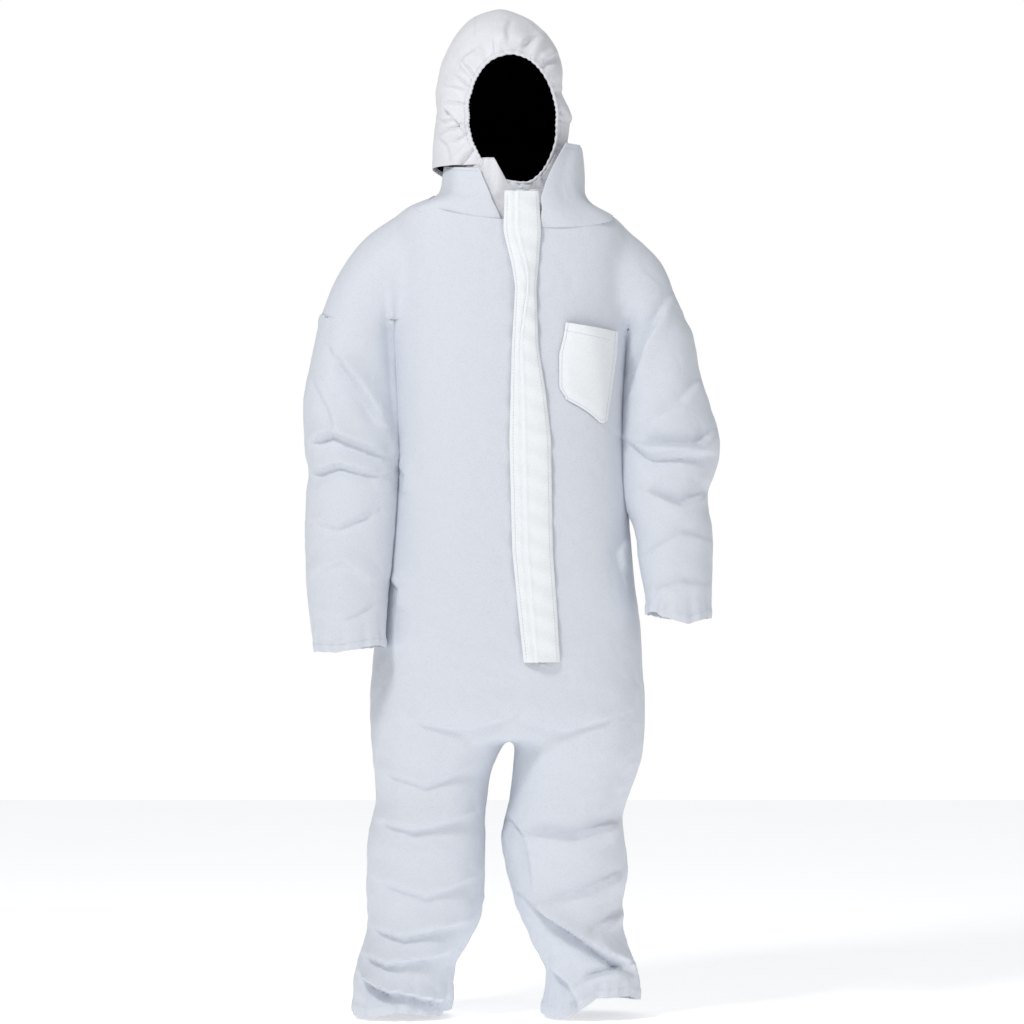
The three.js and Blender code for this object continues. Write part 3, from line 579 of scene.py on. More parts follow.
# %% Ridged noise for facets, and gathers where elastic pulls
def crumpled(co, stretch, offset=0.0):
    scale = Vector(stretch)
    shift = Vector((offset, -offset, 0.5 * offset))
    out = np.empty(len(co))
    for i, p in enumerate(co):
        q = Vector(p) * scale + shift
        q += 0.35 * noise.noise_vector(q * 0.6)
        near = noise.voronoi(q)[0]
        out[i] = 0.8 * min(1.0, 1.6 * (near[1] - near[0])) + 0.5 * noise.noise(q * 1.7)
    return out


def calm(z, points_of_strength):
    heights, strengths = zip(*sorted(points_of_strength))
    return np.interp(z, heights, strengths)


n = normals(skin.data)
co = points(skin.data)
front, back = np.clip(-1.6 * n[:, 1], 0, 1), np.clip(1.6 * n[:, 1], 0, 1)
push = np.zeros(len(co))
for weight, strokes in ((front, FRONT_STROKES), (back, BACK_STROKES)):
    for path, width, lift, tuck in strokes:
        push += FOLD_STRENGTH * weight * stroke(co, path, width, lift, tuck)
on_sleeve = sleeve_side != 0
z = co[:, 2]
trunk_strength = calm(z, [(-.05, .0003), (-.45, .0004), (-.6, .0006), (-.9, .0010), (-1.0, .0015),
    (-1.2, .0020), (-1.4, .0030)])
sleeve_strength = calm(z, [(-.1, .0006), (-.25, .0010), (-.42, .0018), (-.5, .0018), (-.6, .0011),
    (-.75, .0008)])
strength = np.where(on_sleeve, sleeve_strength, trunk_strength)
push += strength * crumpled(co, (9, 9, 15)) + 0.6 * strength * crumpled(co, (17, 17, 30), 3.0)
waist = np.exp(-(((z - WAIST) / 0.028) ** 2)) * back * ~on_sleeve
push += waist * (0.0035 * np.sin(co[:, 0] * 420 + 2.0 * np.sin(co[:, 0] * 60)) - 0.006)
print("folds from", round(push.min() * 1000, 1), "to", round(push.max() * 1000, 1), "mm")

# %% Gathers round the cuffs and ankles, and hems that hang unevenly
CUFF_LINES = {"right": [(-.34, .001), (-.298, 0), (-.234, .012)],
    "left": [(.23, .024), (.26, .008), (.30, -.004), (.34, .010)]}
HEM_LINES = {"right": [(-.272, .001), (-.251, -.004), (-.194, .008), (-.125, -.001), (-.10, .020)],
             "left": [(.05, -.001), (.085, -.005), (.109, .006), (.145, .032), (.213, .034), (.222, .050)]}
lift, to_end = np.zeros(len(co)), np.full(len(co), 9.0)
HEM_BAND = {"cuff": 0.016, "ankle": 0.022}
for name, side in (("right", -1), ("left", 1)):
    for mine, end, line, height, size, band in ((sleeve_side == side, CUFFS[name], CUFF_LINES[name], .035,
        .0018, HEM_BAND["cuff"]),
                                    ((sleeve_side == 0) & (side * (co[:, 0] - .005) > 0), HEM, HEM_LINES[name],
                                    .045, .0024, HEM_BAND["ankle"])):
        near = mine & (z < end + 0.25)
        if not near.any():
            continue
        middle = co[near, :2].mean(axis=0)
        angle = np.arctan2(co[near, 1] - middle[1], co[near, 0] - middle[0])
        pleats = np.sin(17 * angle + 1.5 * np.sin(3 * angle)) + 0.6 * np.sin(31 * angle + 2 * np.sin(2 * angle))
        push[near] += size * pleats * np.exp(-((z[near] - end) / height).clip(0) ** 1.5)
        # the turned-up hem is three layers thick
        push[near] += 0.0007 * (1 - np.tanh((z[near] - end - band) / 0.0025))
        to_end[near] = z[near] - end
        xs, zs = zip(*line)
        lift[near] += np.interp(co[near, 0], xs, zs) * np.clip(1 - (z[near] - end) / 0.11, 0,
            1) * (0.5 + 0.5 * front[near])
co += n * push[:, None]
co[:, 2] += lift
place_points(skin.data, co)
skin.data.attributes.new("to_end", "FLOAT", "POINT").data.foreach_set("value", to_end.astype(np.float32))
print("hems lifted by up to", round(lift.max() * 1000), "mm")

# %% [markdown]
# ## Panels
# The sewn suit is not one skin, so the skin is cut into panels along the seams, with the joints of the
# frame in mind: each panel belongs to one body, or bends between two. Then each panel is given the
# thickness of the sheet. The shading normals are taken from the whole skin first, so a cut across a plain
# stretch of cloth doesn't show as an edge.

# %% Cut a skin into numbered panels and give each its thickness
CREASE_ANGLE = math.radians(55)
SHEET_THICKNESS = 0.0011  # folded seams and air make the hanging sheet look thicker than the cut one


def face_centres(mesh):
    centres = np.empty(len(mesh.polygons) * 3, np.float32)
    mesh.polygons.foreach_get("center", centres)
    return centres.reshape(-1, 3).astype(float)


def face_values(mesh, attribute):
    values = np.empty(len(mesh.vertices), np.float32)
    mesh.attributes[attribute].data.foreach_get("value", values)
    return values[[p.vertices[0] for p in mesh.polygons]]


def cut_panels(source, numbers, names, material):
    mesh = source.data
    mesh.set_sharp_from_angle(angle=CREASE_ANGLE)
    shading = np.empty(len(mesh.loops) * 3, np.float32)
    mesh.corner_normals.foreach_get("vector", shading)
    shading = shading.reshape(-1, 3)
    corners = [len(p.vertices) for p in mesh.polygons]
    made = {}
    for number, name in enumerate(names):
        keep = numbers == number
        bm = bmesh.new()
        bm.from_mesh(mesh)
        bm.faces.ensure_lookup_table()
        bmesh.ops.delete(bm, geom=[bm.faces[i] for i in np.nonzero(~keep)[0]], context="FACES")
        made[name] = mesh_object(name, bm)
        finished(made[name], ("SOLIDIFY", {"thickness": SHEET_THICKNESS, "offset": -1.0}))
        outside = shading[np.repeat(keep, corners)]
        inside_and_rim = np.zeros((len(made[name].data.loops) - len(outside),
            3))  # zero leaves a normal as it is
        made[name].data.normals_split_custom_set(np.concatenate((outside, inside_and_rim)).tolist())
        made[name].data.materials.append(material)
    bpy.data.objects.remove(source)
    return made


# %% Number the body's panels
PANELS = ["front_right", "front_left", "back_upper", "seat_right", "seat_left", "leg_right", "leg_left",
    "sleeve_right", "sleeve_left",
          "forearm_right", "forearm_left", "cuff_band_right", "cuff_band_left", "ankle_band_right",
          "ankle_band_left"]
HIP_START, HIP_END = {"right": (-.035, 0, -.74), "left": (.045, 0, -.74)}, {"right": (-.150, 0, -.90),
    "left": (.155, 0, -.90)}
ELBOW_CUT = -0.335


def hip_share(p, name):
    a, b = np.array(HIP_START[name])[[0, 2]], np.array(HIP_END[name])[[0, 2]]
    return ((p[:, [0, 2]] - a) @ (b - a)) / ((b - a) @ (b - a))


def middle_line(z):
    return np.where(z > -0.79, zip_middle(z), 0.052 + (0.002 - 0.052) * np.clip((-0.79 - z) / 0.13, 0, 1))


c = face_centres(skin.data)
face_side = np.rint(face_values(skin.data, "sleeve")).astype(int)
above_end = face_values(skin.data, "to_end")
is_right = c[:, 0] < np.where(c[:, 1] < 0.0, middle_line(c[:, 2]), 0.0)
share = np.where(is_right, hip_share(c, "right"), hip_share(c, "left"))
panel = np.where(c[:, 1] < 0.0, np.where(is_right, 0, 1),
    np.where(c[:, 2] > WAIST, 2, np.where(is_right, 3, 4)))
panel = np.where((share >= 1) & (c[:, 2] < HIP), np.where(c[:, 0] < 0.0, 5, 6), panel)
panel = np.where((face_side == 0) & (above_end < HEM_BAND["ankle"]), np.where(c[:, 0] < 0.0, 13, 14), panel)
for side, upper, lower, band in ((-1, 7, 9, 11), (1, 8, 10, 12)):
    panel = np.where(face_side == side, np.where(c[:, 2] > ELBOW_CUT, upper, lower), panel)
    panel = np.where((face_side == side) & (above_end < HEM_BAND["cuff"]), band, panel)
in_slot = (c[:, 1] < -0.05) & (c[:, 2] > -0.79) & (np.abs(c[:, 0] - zip_middle(c[:, 2])) < ZIP_SLOT)
panel = np.where(in_slot, -1, panel)
print("faces per panel", {name: int((panel == i).sum()) for i, name in enumerate(PANELS)})
panels = cut_panels(skin, panel, PANELS, body_sheet)

# %% The panels follow the frame's bodies
for name in ("right", "left"):
    side = 1 if name == "left" else -1
    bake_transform(panels["front_" + name], "trunk", "thigh_" + name, HIP_START[name], HIP_END[name])
    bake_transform(panels["seat_" + name], "trunk", "thigh_" + name, HIP_START[name], HIP_END[name])
    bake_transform(panels["leg_" + name], "thigh_" + name, "shin_" + name, (0, 0, -0.99), (0, 0, -1.15))
    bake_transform(panels["sleeve_" + name], "trunk", "upper_arm_" + name, (side * .205, 0, -.12),
        (side * .30, 0, -.24))
    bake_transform(panels["forearm_" + name], "upper_arm_" + name, "forearm_" + name, (0, 0, -.375), (0, 0, -.495))
    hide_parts("front_panel_" + name)
    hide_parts("leg_top_" + name)
    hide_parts("leg_upper_" + name, "leg_knee_" + name, "leg_lower_" + name)
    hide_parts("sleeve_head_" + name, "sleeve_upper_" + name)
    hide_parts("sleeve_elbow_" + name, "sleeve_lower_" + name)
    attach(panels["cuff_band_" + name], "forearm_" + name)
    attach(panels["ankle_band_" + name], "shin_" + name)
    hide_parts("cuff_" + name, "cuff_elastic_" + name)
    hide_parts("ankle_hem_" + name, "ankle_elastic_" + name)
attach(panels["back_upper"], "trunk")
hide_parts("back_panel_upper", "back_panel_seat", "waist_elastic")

# %% [markdown]
# ## Underarm gussets
# When an arm is lifted, the sleeve swings away from the side of the trunk, and the armhole would open under
# the arm. A gusset of the same sheet is laid behind each armhole. It could be left out of a suit that never
# moves, because the hanging sleeve hides it.

# %% A bent grid, turned outwards and shaded smooth
def bent_grid(columns, rows, place):
    bm = bmesh.new()
    bmesh.ops.create_grid(bm, x_segments=columns, y_segments=rows, size=1)
    flat = np.array([v.co for v in bm.verts])
    for vertex, co in zip(bm.verts, place((flat[:, 0] + 1) / 2, (flat[:, 1] + 1) / 2)):
        vertex.co = co
    bmesh.ops.remove_doubles(bm, verts=bm.verts, dist=1e-5)
    return bm


def turn_outwards(bm, facing):
    """Make the normals agree, and reverse them if facing sums to less than zero over the faces."""
    bmesh.ops.recalc_face_normals(bm, faces=bm.faces)
    if sum(facing(f) for f in bm.faces) < 0:
        bmesh.ops.reverse_faces(bm, faces=bm.faces)


def shade_smooth(made):
    for polygon in made.data.polygons:
        polygon.use_smooth = True


# %% A gusset behind each armhole
def gusset_place(side):
    def place(around, along):
        z = -0.33 + (-0.05 + 0.33) * along
        angle = (0 if side > 0 else math.pi) + math.radians(72) * (2 * around - 1)
        x, y = trunk_section(angle, z, 0.0045)
        ripple = 0.001 * np.sin(9 * around + 12 * along)
        return np.stack((x - side * ripple, y, z), axis=1)
    return place


for name, side in (("right", -1), ("left", 1)):
    bm = bent_grid(40, 40, gusset_place(side))
    turn_outwards(bm, lambda f: side * f.normal.x)
    gusset = mesh_object("underarm_gusset_" + name, bm)
    shade_smooth(gusset)
    finished(gusset, ("SOLIDIFY", {"thickness": SHEET_THICKNESS, "offset": -1.0}))
    gusset.data.materials.append(body_sheet)
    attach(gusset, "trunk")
print("gussets", round(sum(p.area for p in gusset.data.polygons) / 2, 3), "square metres each")

# %% [markdown]
# ## Hood
# The hood is a soft dome with an oval face opening drawn in by elastic. It could be cut from a sphere, but
# the pleats must run out from the opening, so the grid is laid round it instead: one direction of the grid
# circles the opening, and the other runs from its edge over the head to the back. How far the dome reaches
# in each direction is read from the outline seen from the front.

# %% Outlines round a middle point
HOOD_MIDDLE = np.array([-.020, .150])
DOME = [(-.02, -.16), (.06, -.14), (.103, -.05), (.103, .0), (.096, .06), (.094, .087), (.094, .113),
    (.100, .139), (.100, .165), (.087, .191), (.085, .217), (.085, .243),
        (.080, .269), (.061, .297), (.031, .324), (-.02, .343), (-.072, .325), (-.099, .295), (-.113, .269),
        (-.124, .243), (-.129, .217), (-.133, .191),
        (-.129, .165), (-.132, .139), (-.136, .113), (-.138, .087), (-.138, .064), (-.134, .0), (-.11, -.10)]
OVAL = [(0, .2555), (.030, .246), (.054, .222), (.0728, .1802), (.0763, .1369), (.0676, .0832), (.050, .052),
    (.030, .0355), (.0, .0375), (-.0243, .0433), (-.0433, .0641),
        (-.060, .090), (-.0711, .1178), (-.0735, .149), (-.069, .190), (-.0572, .2190), (-.034, .245)]
HOOD_FRONT, HOOD_BACK, HOOD_ROUND = 0.121, 0.118, 2.3
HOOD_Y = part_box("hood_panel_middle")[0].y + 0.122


def outline(around):
    away = np.array(around) - HOOD_MIDDLE
    angle, reach = np.degrees(np.arctan2(away[:, 1], away[:, 0])), np.linalg.norm(away, axis=1)
    order = np.argsort(angle)
    degrees = np.arange(-180, 180, 2.0)
    values = np.interp(degrees, angle[order], reach[order], period=360)
    smooth = np.convolve(np.tile(values, 3), np.hanning(7) / np.hanning(7).sum(), mode="same")[180:360]
    return lambda theta: np.interp(np.degrees(theta), degrees, smooth, period=360)


dome, oval = outline(DOME), outline(OVAL)


def hood_point(theta, share, inset=0.0):
    reach, edge = dome(theta) - inset, oval(theta)
    first = np.arcsin(np.clip(edge / reach, 0, 1) ** (HOOD_ROUND / 2))
    turn = first + (math.pi - first) * share
    radial = reach * np.clip(np.sin(turn), 0, 1) ** (2 / HOOD_ROUND)
    depth = np.where(turn < math.pi / 2, HOOD_FRONT, HOOD_BACK) - inset
    y = HOOD_Y - depth * np.sign(np.cos(turn)) * np.abs(np.cos(turn)) ** (2 / HOOD_ROUND)
    return np.stack((HOOD_MIDDLE[0] + radial * np.cos(theta), y, HOOD_MIDDLE[1] + radial * np.sin(theta)),
        axis=1)


print("face opening", [round(float(2 * oval(np.radians(a))), 3) for a in (0, 90)], "m across and high")

# %% The dome, its pleats and its lower edge
def hood_pleats(theta, distance):
    wander = 0.5 * np.sin(5 * theta + 1) + 0.4 * np.sin(11 * theta)
    tight = np.sin(44 * theta + 2.2 * wander) * np.exp(-distance / 0.010) * 0.0016
    puffs = (0.5 + 0.5 * np.sin(13 * theta + 2.4 * wander)) * np.exp(-(((distance - 0.030) / 0.024) ** 2)) * 0.0085
    valleys = (-np.exp(-(np.sin(7.5 * theta + wander + 0.4) / 0.16) ** 2)
               * np.exp(-(((distance - 0.022) / 0.020) ** 2)) * 0.006)
    return tight + puffs + valleys


def cut_below(bm, height_of):
    for v in bm.verts:
        v.co.z -= float(height_of(v.co.x, v.co.y))
    bmesh.ops.bisect_plane(bm, geom=bm.verts[:] + bm.edges[:] + bm.faces[:], dist=1e-5, plane_co=(0, 0, 0),
        plane_no=(0, 0, -1), clear_outer=True)
    for v in bm.verts:
        v.co.z += float(height_of(v.co.x, v.co.y))


HOOD_STROKES = [
    ([(-.128, .186), (-.100, .150), (-.078, .112)], .014, .0080, .010),
    ([(-.130, .150), (-.112, .141), (-.096, .146)], .009, .0040, .008),
    ([(-.118, .205), (-.094, .198), (-.076, .190)], .010, .0050, .004),
    ([(.083, .165), (.094, .150), (.096, .136)], .009, .0040, .006),
    ([(-.062, .262), (-.078, .250), (-.090, .228)], .012, .0060, .004),
    ([(.012, .268), (.032, .284), (.052, .292)], .010, .0050, .005),
    ([(-.010, .272), (-.012, .296), (-.004, .318)], .010, .0040, .004),
    ([(.050, .246), (.068, .252), (.078, .262)], .010, .0050, .005),
    ([(-.125, .120), (-.108, .092), (-.100, .068)], .012, .0040, .003),
]


def lower_edge(x, y):
    """Height of the hood's hem: it hangs outside the collar on the right, and is tucked in elsewhere."""
    across = np.interp(x, [-.2, -.058, -.012, .02], [.064, .064, .022, .010])
    return np.where(y > 0.03, np.interp(x, [-.14, -.10, 0], [.064, .045, .02]), across)


def dome_place(around, share):
    return hood_point(2 * math.pi * around - math.pi / 2, share**1.15)


hood_skin = mesh_object("hood_skin", bent_grid(300, 120, dome_place))
bm = bmesh.new()
bm.from_mesh(hood_skin.data)
turn_outwards(bm, lambda f: f.normal.z if f.calc_center_median().z > 0.3 else 0)
bm.to_mesh(hood_skin.data)
bm.free()
co, n = points(hood_skin.data), normals(hood_skin.data)
theta = np.arctan2(co[:, 2] - HOOD_MIDDLE[1], co[:, 0] - HOOD_MIDDLE[0])
distance = np.hypot(co[:, 0] - HOOD_MIDDLE[0], co[:, 2] - HOOD_MIDDLE[1]) - oval(theta)
forward = np.clip(-1.3 * n[:, 1] + 0.25, 0, 1)
push = hood_pleats(theta, distance.clip(0)) * forward * np.clip(distance / 0.004, 0, 1)
for path, width, lift, tuck in HOOD_STROKES:
    push += forward * stroke(co, path, width, lift, tuck)
push += 0.0011 * crumpled(co, (14, 14, 20), 7.0)
co += n * push[:, None]
place_points(hood_skin.data, co)
bm = bmesh.new()
bm.from_mesh(hood_skin.data)
cut_below(bm, lower_edge)
bm.to_mesh(hood_skin.data)
bm.free()
finished(hood_skin, ("SMOOTH", {"factor": 0.5, "iterations": 2}))
print("hood", len(hood_skin.data.vertices), "points")

# %% Three hood panels, as they are sewn
c = face_centres(hood_skin.data)
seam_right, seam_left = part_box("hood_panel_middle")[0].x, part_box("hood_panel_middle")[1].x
HOOD_PANELS = ["hood_side_right", "hood_middle", "hood_side_left"]
hood_panels = cut_panels(hood_skin, np.where(c[:, 0] < seam_right, 0, np.where(c[:, 0] < seam_left, 1, 2)),
    HOOD_PANELS, hood_sheet)
for name, nodes in zip(HOOD_PANELS, ("hood_panel_right", "hood_panel_middle", "hood_panel_left")):
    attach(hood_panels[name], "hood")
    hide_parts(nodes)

# %% [markdown]
# ## Face hem and painted shade inside
# The edge of the opening is turned back over a round elastic and stitched, so it stands as a small ruffled
# roll. Behind it the hood is empty: a matt black shell there is painted shade, standing in for the deep
# shade that the inside of a worn hood has, and keeps it dark from every side.

# %% Rolled hem round the opening
HEM_RADIUS = 0.0026


def face_roll(around, along):
    theta = 2 * math.pi * along
    edge = hood_point(theta, np.full(len(theta), 0.004))
    gather = 1 + 0.22 * np.sin(58 * theta + 2 * np.sin(6 * theta))
    ring = 2 * math.pi * around
    out = np.stack((np.cos(theta), np.zeros(len(theta)), np.sin(theta)), axis=1)
    forward = np.array([0, -1, 0])
    return edge + HEM_RADIUS * gather[:, None] * (np.cos(ring)[:, None] * out + np.sin(ring)[:, None] * forward)


roll = bent_grid(10, 520, face_roll)
bmesh.ops.recalc_face_normals(roll, faces=roll.faces)
face_hem = mesh_object("face_hem", roll)
shade_smooth(face_hem)
face_hem.data.materials.append(hood_sheet)
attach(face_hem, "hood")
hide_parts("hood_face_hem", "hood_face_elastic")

# %% Painted shade: a matt black shell inside the hood
# This near-black colour is painted shade for the inside of the empty hood, which is white sheet in shadow
hood_shade_paint, tree = new_material("painted shade inside the hood, near-black")
shade_noise = node(tree, "TexNoise", {"Scale": 900.0, "Detail": 2.0}, Vector=node(tree, "TexCoord").outputs["Object"])
painted_shade_tone = node(tree, "Mix", {"data_type": "RGBA", 6: colour("#010101"), 7: colour("#050505")},
    i0=shade_noise.outputs["Fac"])
shade_bump = node(tree, "Bump", {"Strength": 0.2, "Distance": 0.0004}, Height=shade_noise.outputs["Fac"])
node(tree, "OutputMaterial", Surface=node(tree, "BsdfPrincipled", {"Roughness": 1.0, "Specular IOR Level": 0.0},
    Base_Color=painted_shade_tone.outputs[2], Normal=shade_bump.outputs["Normal"]).outputs["BSDF"])
# The shell that carries the painted shade sits just inside the hood
hood_shade_bm = bent_grid(120, 60, lambda around,
    share: hood_point(2 * math.pi * around - math.pi / 2, 0.012 + 0.988 * share, 0.009))
for v in hood_shade_bm.verts:  # low down, the painted-shade shell passes inside the back of the collar
    v.co.y = min(v.co.y, 0.074 + 1.3 * max(0.0, v.co.z - 0.10))
cut_below(hood_shade_bm, lambda x, y: lower_edge(x, y) + 0.008)
bmesh.ops.recalc_face_normals(hood_shade_bm, faces=hood_shade_bm.faces)
hood_shade_shell = mesh_object("hood_painted_shade", hood_shade_bm)
finished(hood_shade_shell, ("SOLIDIFY", {"thickness": 0.001, "offset": -1.0}))
shade_smooth(hood_shade_shell)
hood_shade_shell.data.materials.append(hood_shade_paint)
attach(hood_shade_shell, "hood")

# %% [markdown]
# ## Collar and the neck of the hood
# The collar is a short stand-up band in two halves. The left half stands outside the hood with a slanting
# front edge. The right half is low, under the hem of the hood. Inside both, the neck of the hood joins the
# neck seam.

# %% The neck seam and the two collar halves
def neck_foot(angle):
    x, y = trunk_section(angle, np.zeros(len(angle)))
    return NECK - 0.012 - neck_dip(x, y)


COLLAR = {"left": {"foot": .046, "top": .093, "heights": [.102, .100, .098, .095]},
    "right": {"foot": -.014, "top": -.058, "heights": [.058, .062, .074, .095]}}


def collar_place(name):
    side = 1 if name == "left" else -1
    made = COLLAR[name]

    def front_angle(x, z):
        left, right = trunk_left(z), trunk_right(z)
        share = (x - (left + right) / 2) / ((left - right) / 2)
        return -np.arccos(np.clip(np.sign(share) * np.abs(share) ** 1.3, -1, 1))

    def place(around, along):
        bow = along**1.4 if name == "left" else along
        edge_x = (made["foot"] + (made["top"] - made["foot"]) * bow
                  - (0.010 * np.sin(math.pi * along) if name == "left" else 0))
        level = -0.04 + (made["heights"][0] + 0.04) * along
        start = front_angle(edge_x, level)
        finish = math.pi / 2 if side > 0 else -1.5 * math.pi
        angle = start + (finish - start) * around
        top = np.interp(around, [0, .25, .6, 1], made["heights"])
        z = neck_foot(angle) + (top - neck_foot(angle)) * along
        flare = 0.004 * np.sin(math.pi * along) + 0.0015 * np.sin(9 * around * math.pi + 3 * along)
        x, y = trunk_section(angle, z, -0.001 - flare if side > 0 else 0.004 - flare)
        return np.stack((x, y, z), axis=1)
    return place


for name in ("right", "left"):
    bm = bent_grid(90, 24, collar_place(name))
    turn_outwards(bm, lambda f: -f.normal.y if f.calc_center_median().y < -0.05 else 0)
    half = mesh_object("collar_half_" + name, bm)
    shade_smooth(half)
    finished(half, ("SOLIDIFY", {"thickness": 0.0024, "offset": -1.0}),
        ("BEVEL", {"width": 0.0008, "segments": 2, "limit_method": "ANGLE"}))
    half.data.materials.append(body_sheet)
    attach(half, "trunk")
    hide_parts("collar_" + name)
    panels["collar_half_" + name] = half

# %% The neck of the hood, inside the collar
def hood_neck_place(around, along):
    angle = 2 * math.pi * around - math.pi / 2
    z0 = neck_foot(angle) - 0.006
    top = lower_edge(*trunk_section(angle, z0, 0.009)) + 0.012
    z = z0 + (top - z0) * along
    x, y = trunk_section(angle, z, 0.009)
    ease = np.clip((along - 0.4) / 0.6, 0, 1) ** 2
    x = x + ease * (-0.020 - x) * 0.16
    ripple = 0.0016 * np.sin(26 * angle + 2 * np.sin(3 * angle)) * along
    return np.stack((x + ripple * np.cos(angle), y * (1 - 0.06 * ease) + ripple * np.sin(angle), z), axis=1)


bm = bent_grid(180, 24, hood_neck_place)
bmesh.ops.recalc_face_normals(bm, faces=bm.faces)
hood_neck = mesh_object("hood_neck_band", bm)
shade_smooth(hood_neck)
finished(hood_neck, ("SOLIDIFY", {"thickness": 0.001, "offset": 0.0}))
hood_neck.data.materials.append(hood_sheet)
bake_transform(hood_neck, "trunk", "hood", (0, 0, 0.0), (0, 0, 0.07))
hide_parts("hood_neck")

# %% [markdown]
# ## Storm flap
# The flap is a strip of whiter, laminated sheet that covers the zip. It is sewn along its right edge and
# stuck down along its left. It is only fixed in places, so it bows away from the chest, narrows where it
# twists below the collar, and ripples along both edges.

# %% The flap and its adhesive strip
flap_right = profile([(.03, -.013), (.017, -.013), (-.052, -.015), (-.110, .000), (-.147, .006), (-.251, .000),
    (-.407, -.005), (-.598, .000), (-.70, .010), (-.80, .021)])
flap_left = profile([(.03, .044), (.017, .046), (-.052, .050), (-.110, .045), (-.147, .041), (-.251, .045),
    (-.33, .058), (-.407, .067), (-.598, .070), (-.70, .077), (-.80, .083)])
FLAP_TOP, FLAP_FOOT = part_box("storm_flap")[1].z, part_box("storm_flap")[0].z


def front_y(x, z):
    middle, half_width, half_depth, centre = trunk_frame(z)
    share = np.clip(np.abs((x - middle) / half_width), 0, 1)
    return centre - half_depth * (1 - share**SQUARENESS) ** (1 / SQUARENESS)


def flap_place(inset):
    def place(around, along):
        z = FLAP_FOOT + (FLAP_TOP - FLAP_FOOT) * along
        right, left = flap_right(z), flap_left(z)
        x = right + (left - right) * (0.02 + 0.96 * around)
        twist = np.exp(-(((z + 0.14) / 0.055) ** 2))
        bow = 0.0035 + 0.008 * np.sqrt(np.sin(math.pi * np.clip(around, 0.001,
            0.999))) + 0.004 * twist * (1 - around)
        wave = (0.0016 * np.sin(75 * z + 1.5 * np.sin(31 * z)) * (2 * around - 1) ** 2
                + 0.0012 * np.sin(160 * z + 4 * around))
        crease = (-0.0030 * np.exp(-(((around - 0.30 - 0.25 * twist) / 0.05) ** 2))
                  + 0.0022 * np.exp(-(((around - 0.36 - 0.25 * twist) / 0.05) ** 2)))
        return np.stack((x, front_y(x, z) - bow - wave - crease + inset, z), axis=1)
    return place


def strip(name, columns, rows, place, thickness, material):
    bm = bent_grid(columns, rows, place)
    turn_outwards(bm, lambda f: -f.normal.y)
    made = mesh_object(name, bm)
    shade_smooth(made)
    finished(made, ("SOLIDIFY", {"thickness": thickness, "offset": 1.0}),
        ("BEVEL", {"width": thickness * 0.3, "segments": 2, "limit_method": "ANGLE"}))
    made.data.materials.append(material)
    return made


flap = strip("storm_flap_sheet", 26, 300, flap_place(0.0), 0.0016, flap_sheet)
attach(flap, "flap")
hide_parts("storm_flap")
adhesive_film, tree = new_material("silicone-coated release paper")
gloss = node(tree, "TexNoise", {"Scale": 180.0}, Vector=node(tree, "TexCoord").outputs["Object"])
wax = node(tree, "MapRange", {"To Min": 0.22, "To Max": 0.4}, Value=gloss.outputs["Fac"])
cream = node(tree, "Mix", {"data_type": "RGBA", 6: colour("#F4F2EA"), 7: colour("#ECE8DC")},
    i0=gloss.outputs["Fac"])
node(tree, "OutputMaterial", Surface=node(tree, "BsdfPrincipled", {"IOR": 1.43}, Base_Color=cream.outputs[2],
    Roughness=wax.outputs["Result"]).outputs["BSDF"])


def adhesive_place(around, along):
    return flap_place(0.0012)(0.78 + 0.16 * around, 0.01 + 0.98 * along)


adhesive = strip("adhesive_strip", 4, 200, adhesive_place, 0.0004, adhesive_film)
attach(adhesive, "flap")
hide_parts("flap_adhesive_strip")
print("flap", round(FLAP_TOP - FLAP_FOOT, 3), "m long")

# %% [markdown]
# ## Chest pocket
# A patch of the same white sheet, sewn down at its sides and foot, with a turned hem along the open top.
# It gapes a little, so it is a pillow that is thin at its seams and full below the hem.

# %% The pocket patch
pocket_inner = profile([(-.20, .094), (-.235, .088), (-.262, .081), (-.320, .081), (-.336, .092), (-.36, .110),
    (-.385, .150)], .006)
pocket_outer = profile([(-.20, .182), (-.222, .182), (-.262, .180), (-.343, .168), (-.39, .161)], .006)


def pocket_place(around, along):
    top, foot = -.208 - .014 * around, (-.338 - .052 * around**0.9 + .006 * np.sin(math.pi * around)
                                        + .016 * np.clip((around - .80) / .20, 0, 1) ** 2)
    z = foot + (top - foot) * along
    inner, outer = pocket_inner(np.maximum(z, -.335)), pocket_outer(z)
    x = inner + (outer - inner) * around
    rim = np.minimum(np.minimum(around, 1 - around) * 6, along * 8).clip(0, 1)
    fill = 0.0125 * np.sin(math.pi * around) ** 0.7 * along**0.6 + 0.0035 * rim
    hem_band = 0.0009 * (1 + np.tanh((along - 0.905) / 0.012))
    pucker = 0.0007 * np.sin(90 * along) * np.exp(-np.minimum(around,
        1 - around) / 0.05) + 0.0009 * np.sin(7 * around + 5 * along) * rim
    return np.stack((x, front_y(x, z) - 0.0022 - fill - hem_band - pucker, z), axis=1)


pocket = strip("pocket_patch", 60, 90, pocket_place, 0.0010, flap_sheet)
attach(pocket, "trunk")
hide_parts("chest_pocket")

# %% [markdown]
# ## Zip
# The zip is a moulded coil on two woven tapes. Its teeth could be a texture, but the zip lies open to view
# when the flap is lifted, so each tooth is a small block: a cube with twelve triangles is enough for a
# shape that is repeated eight hundred times.

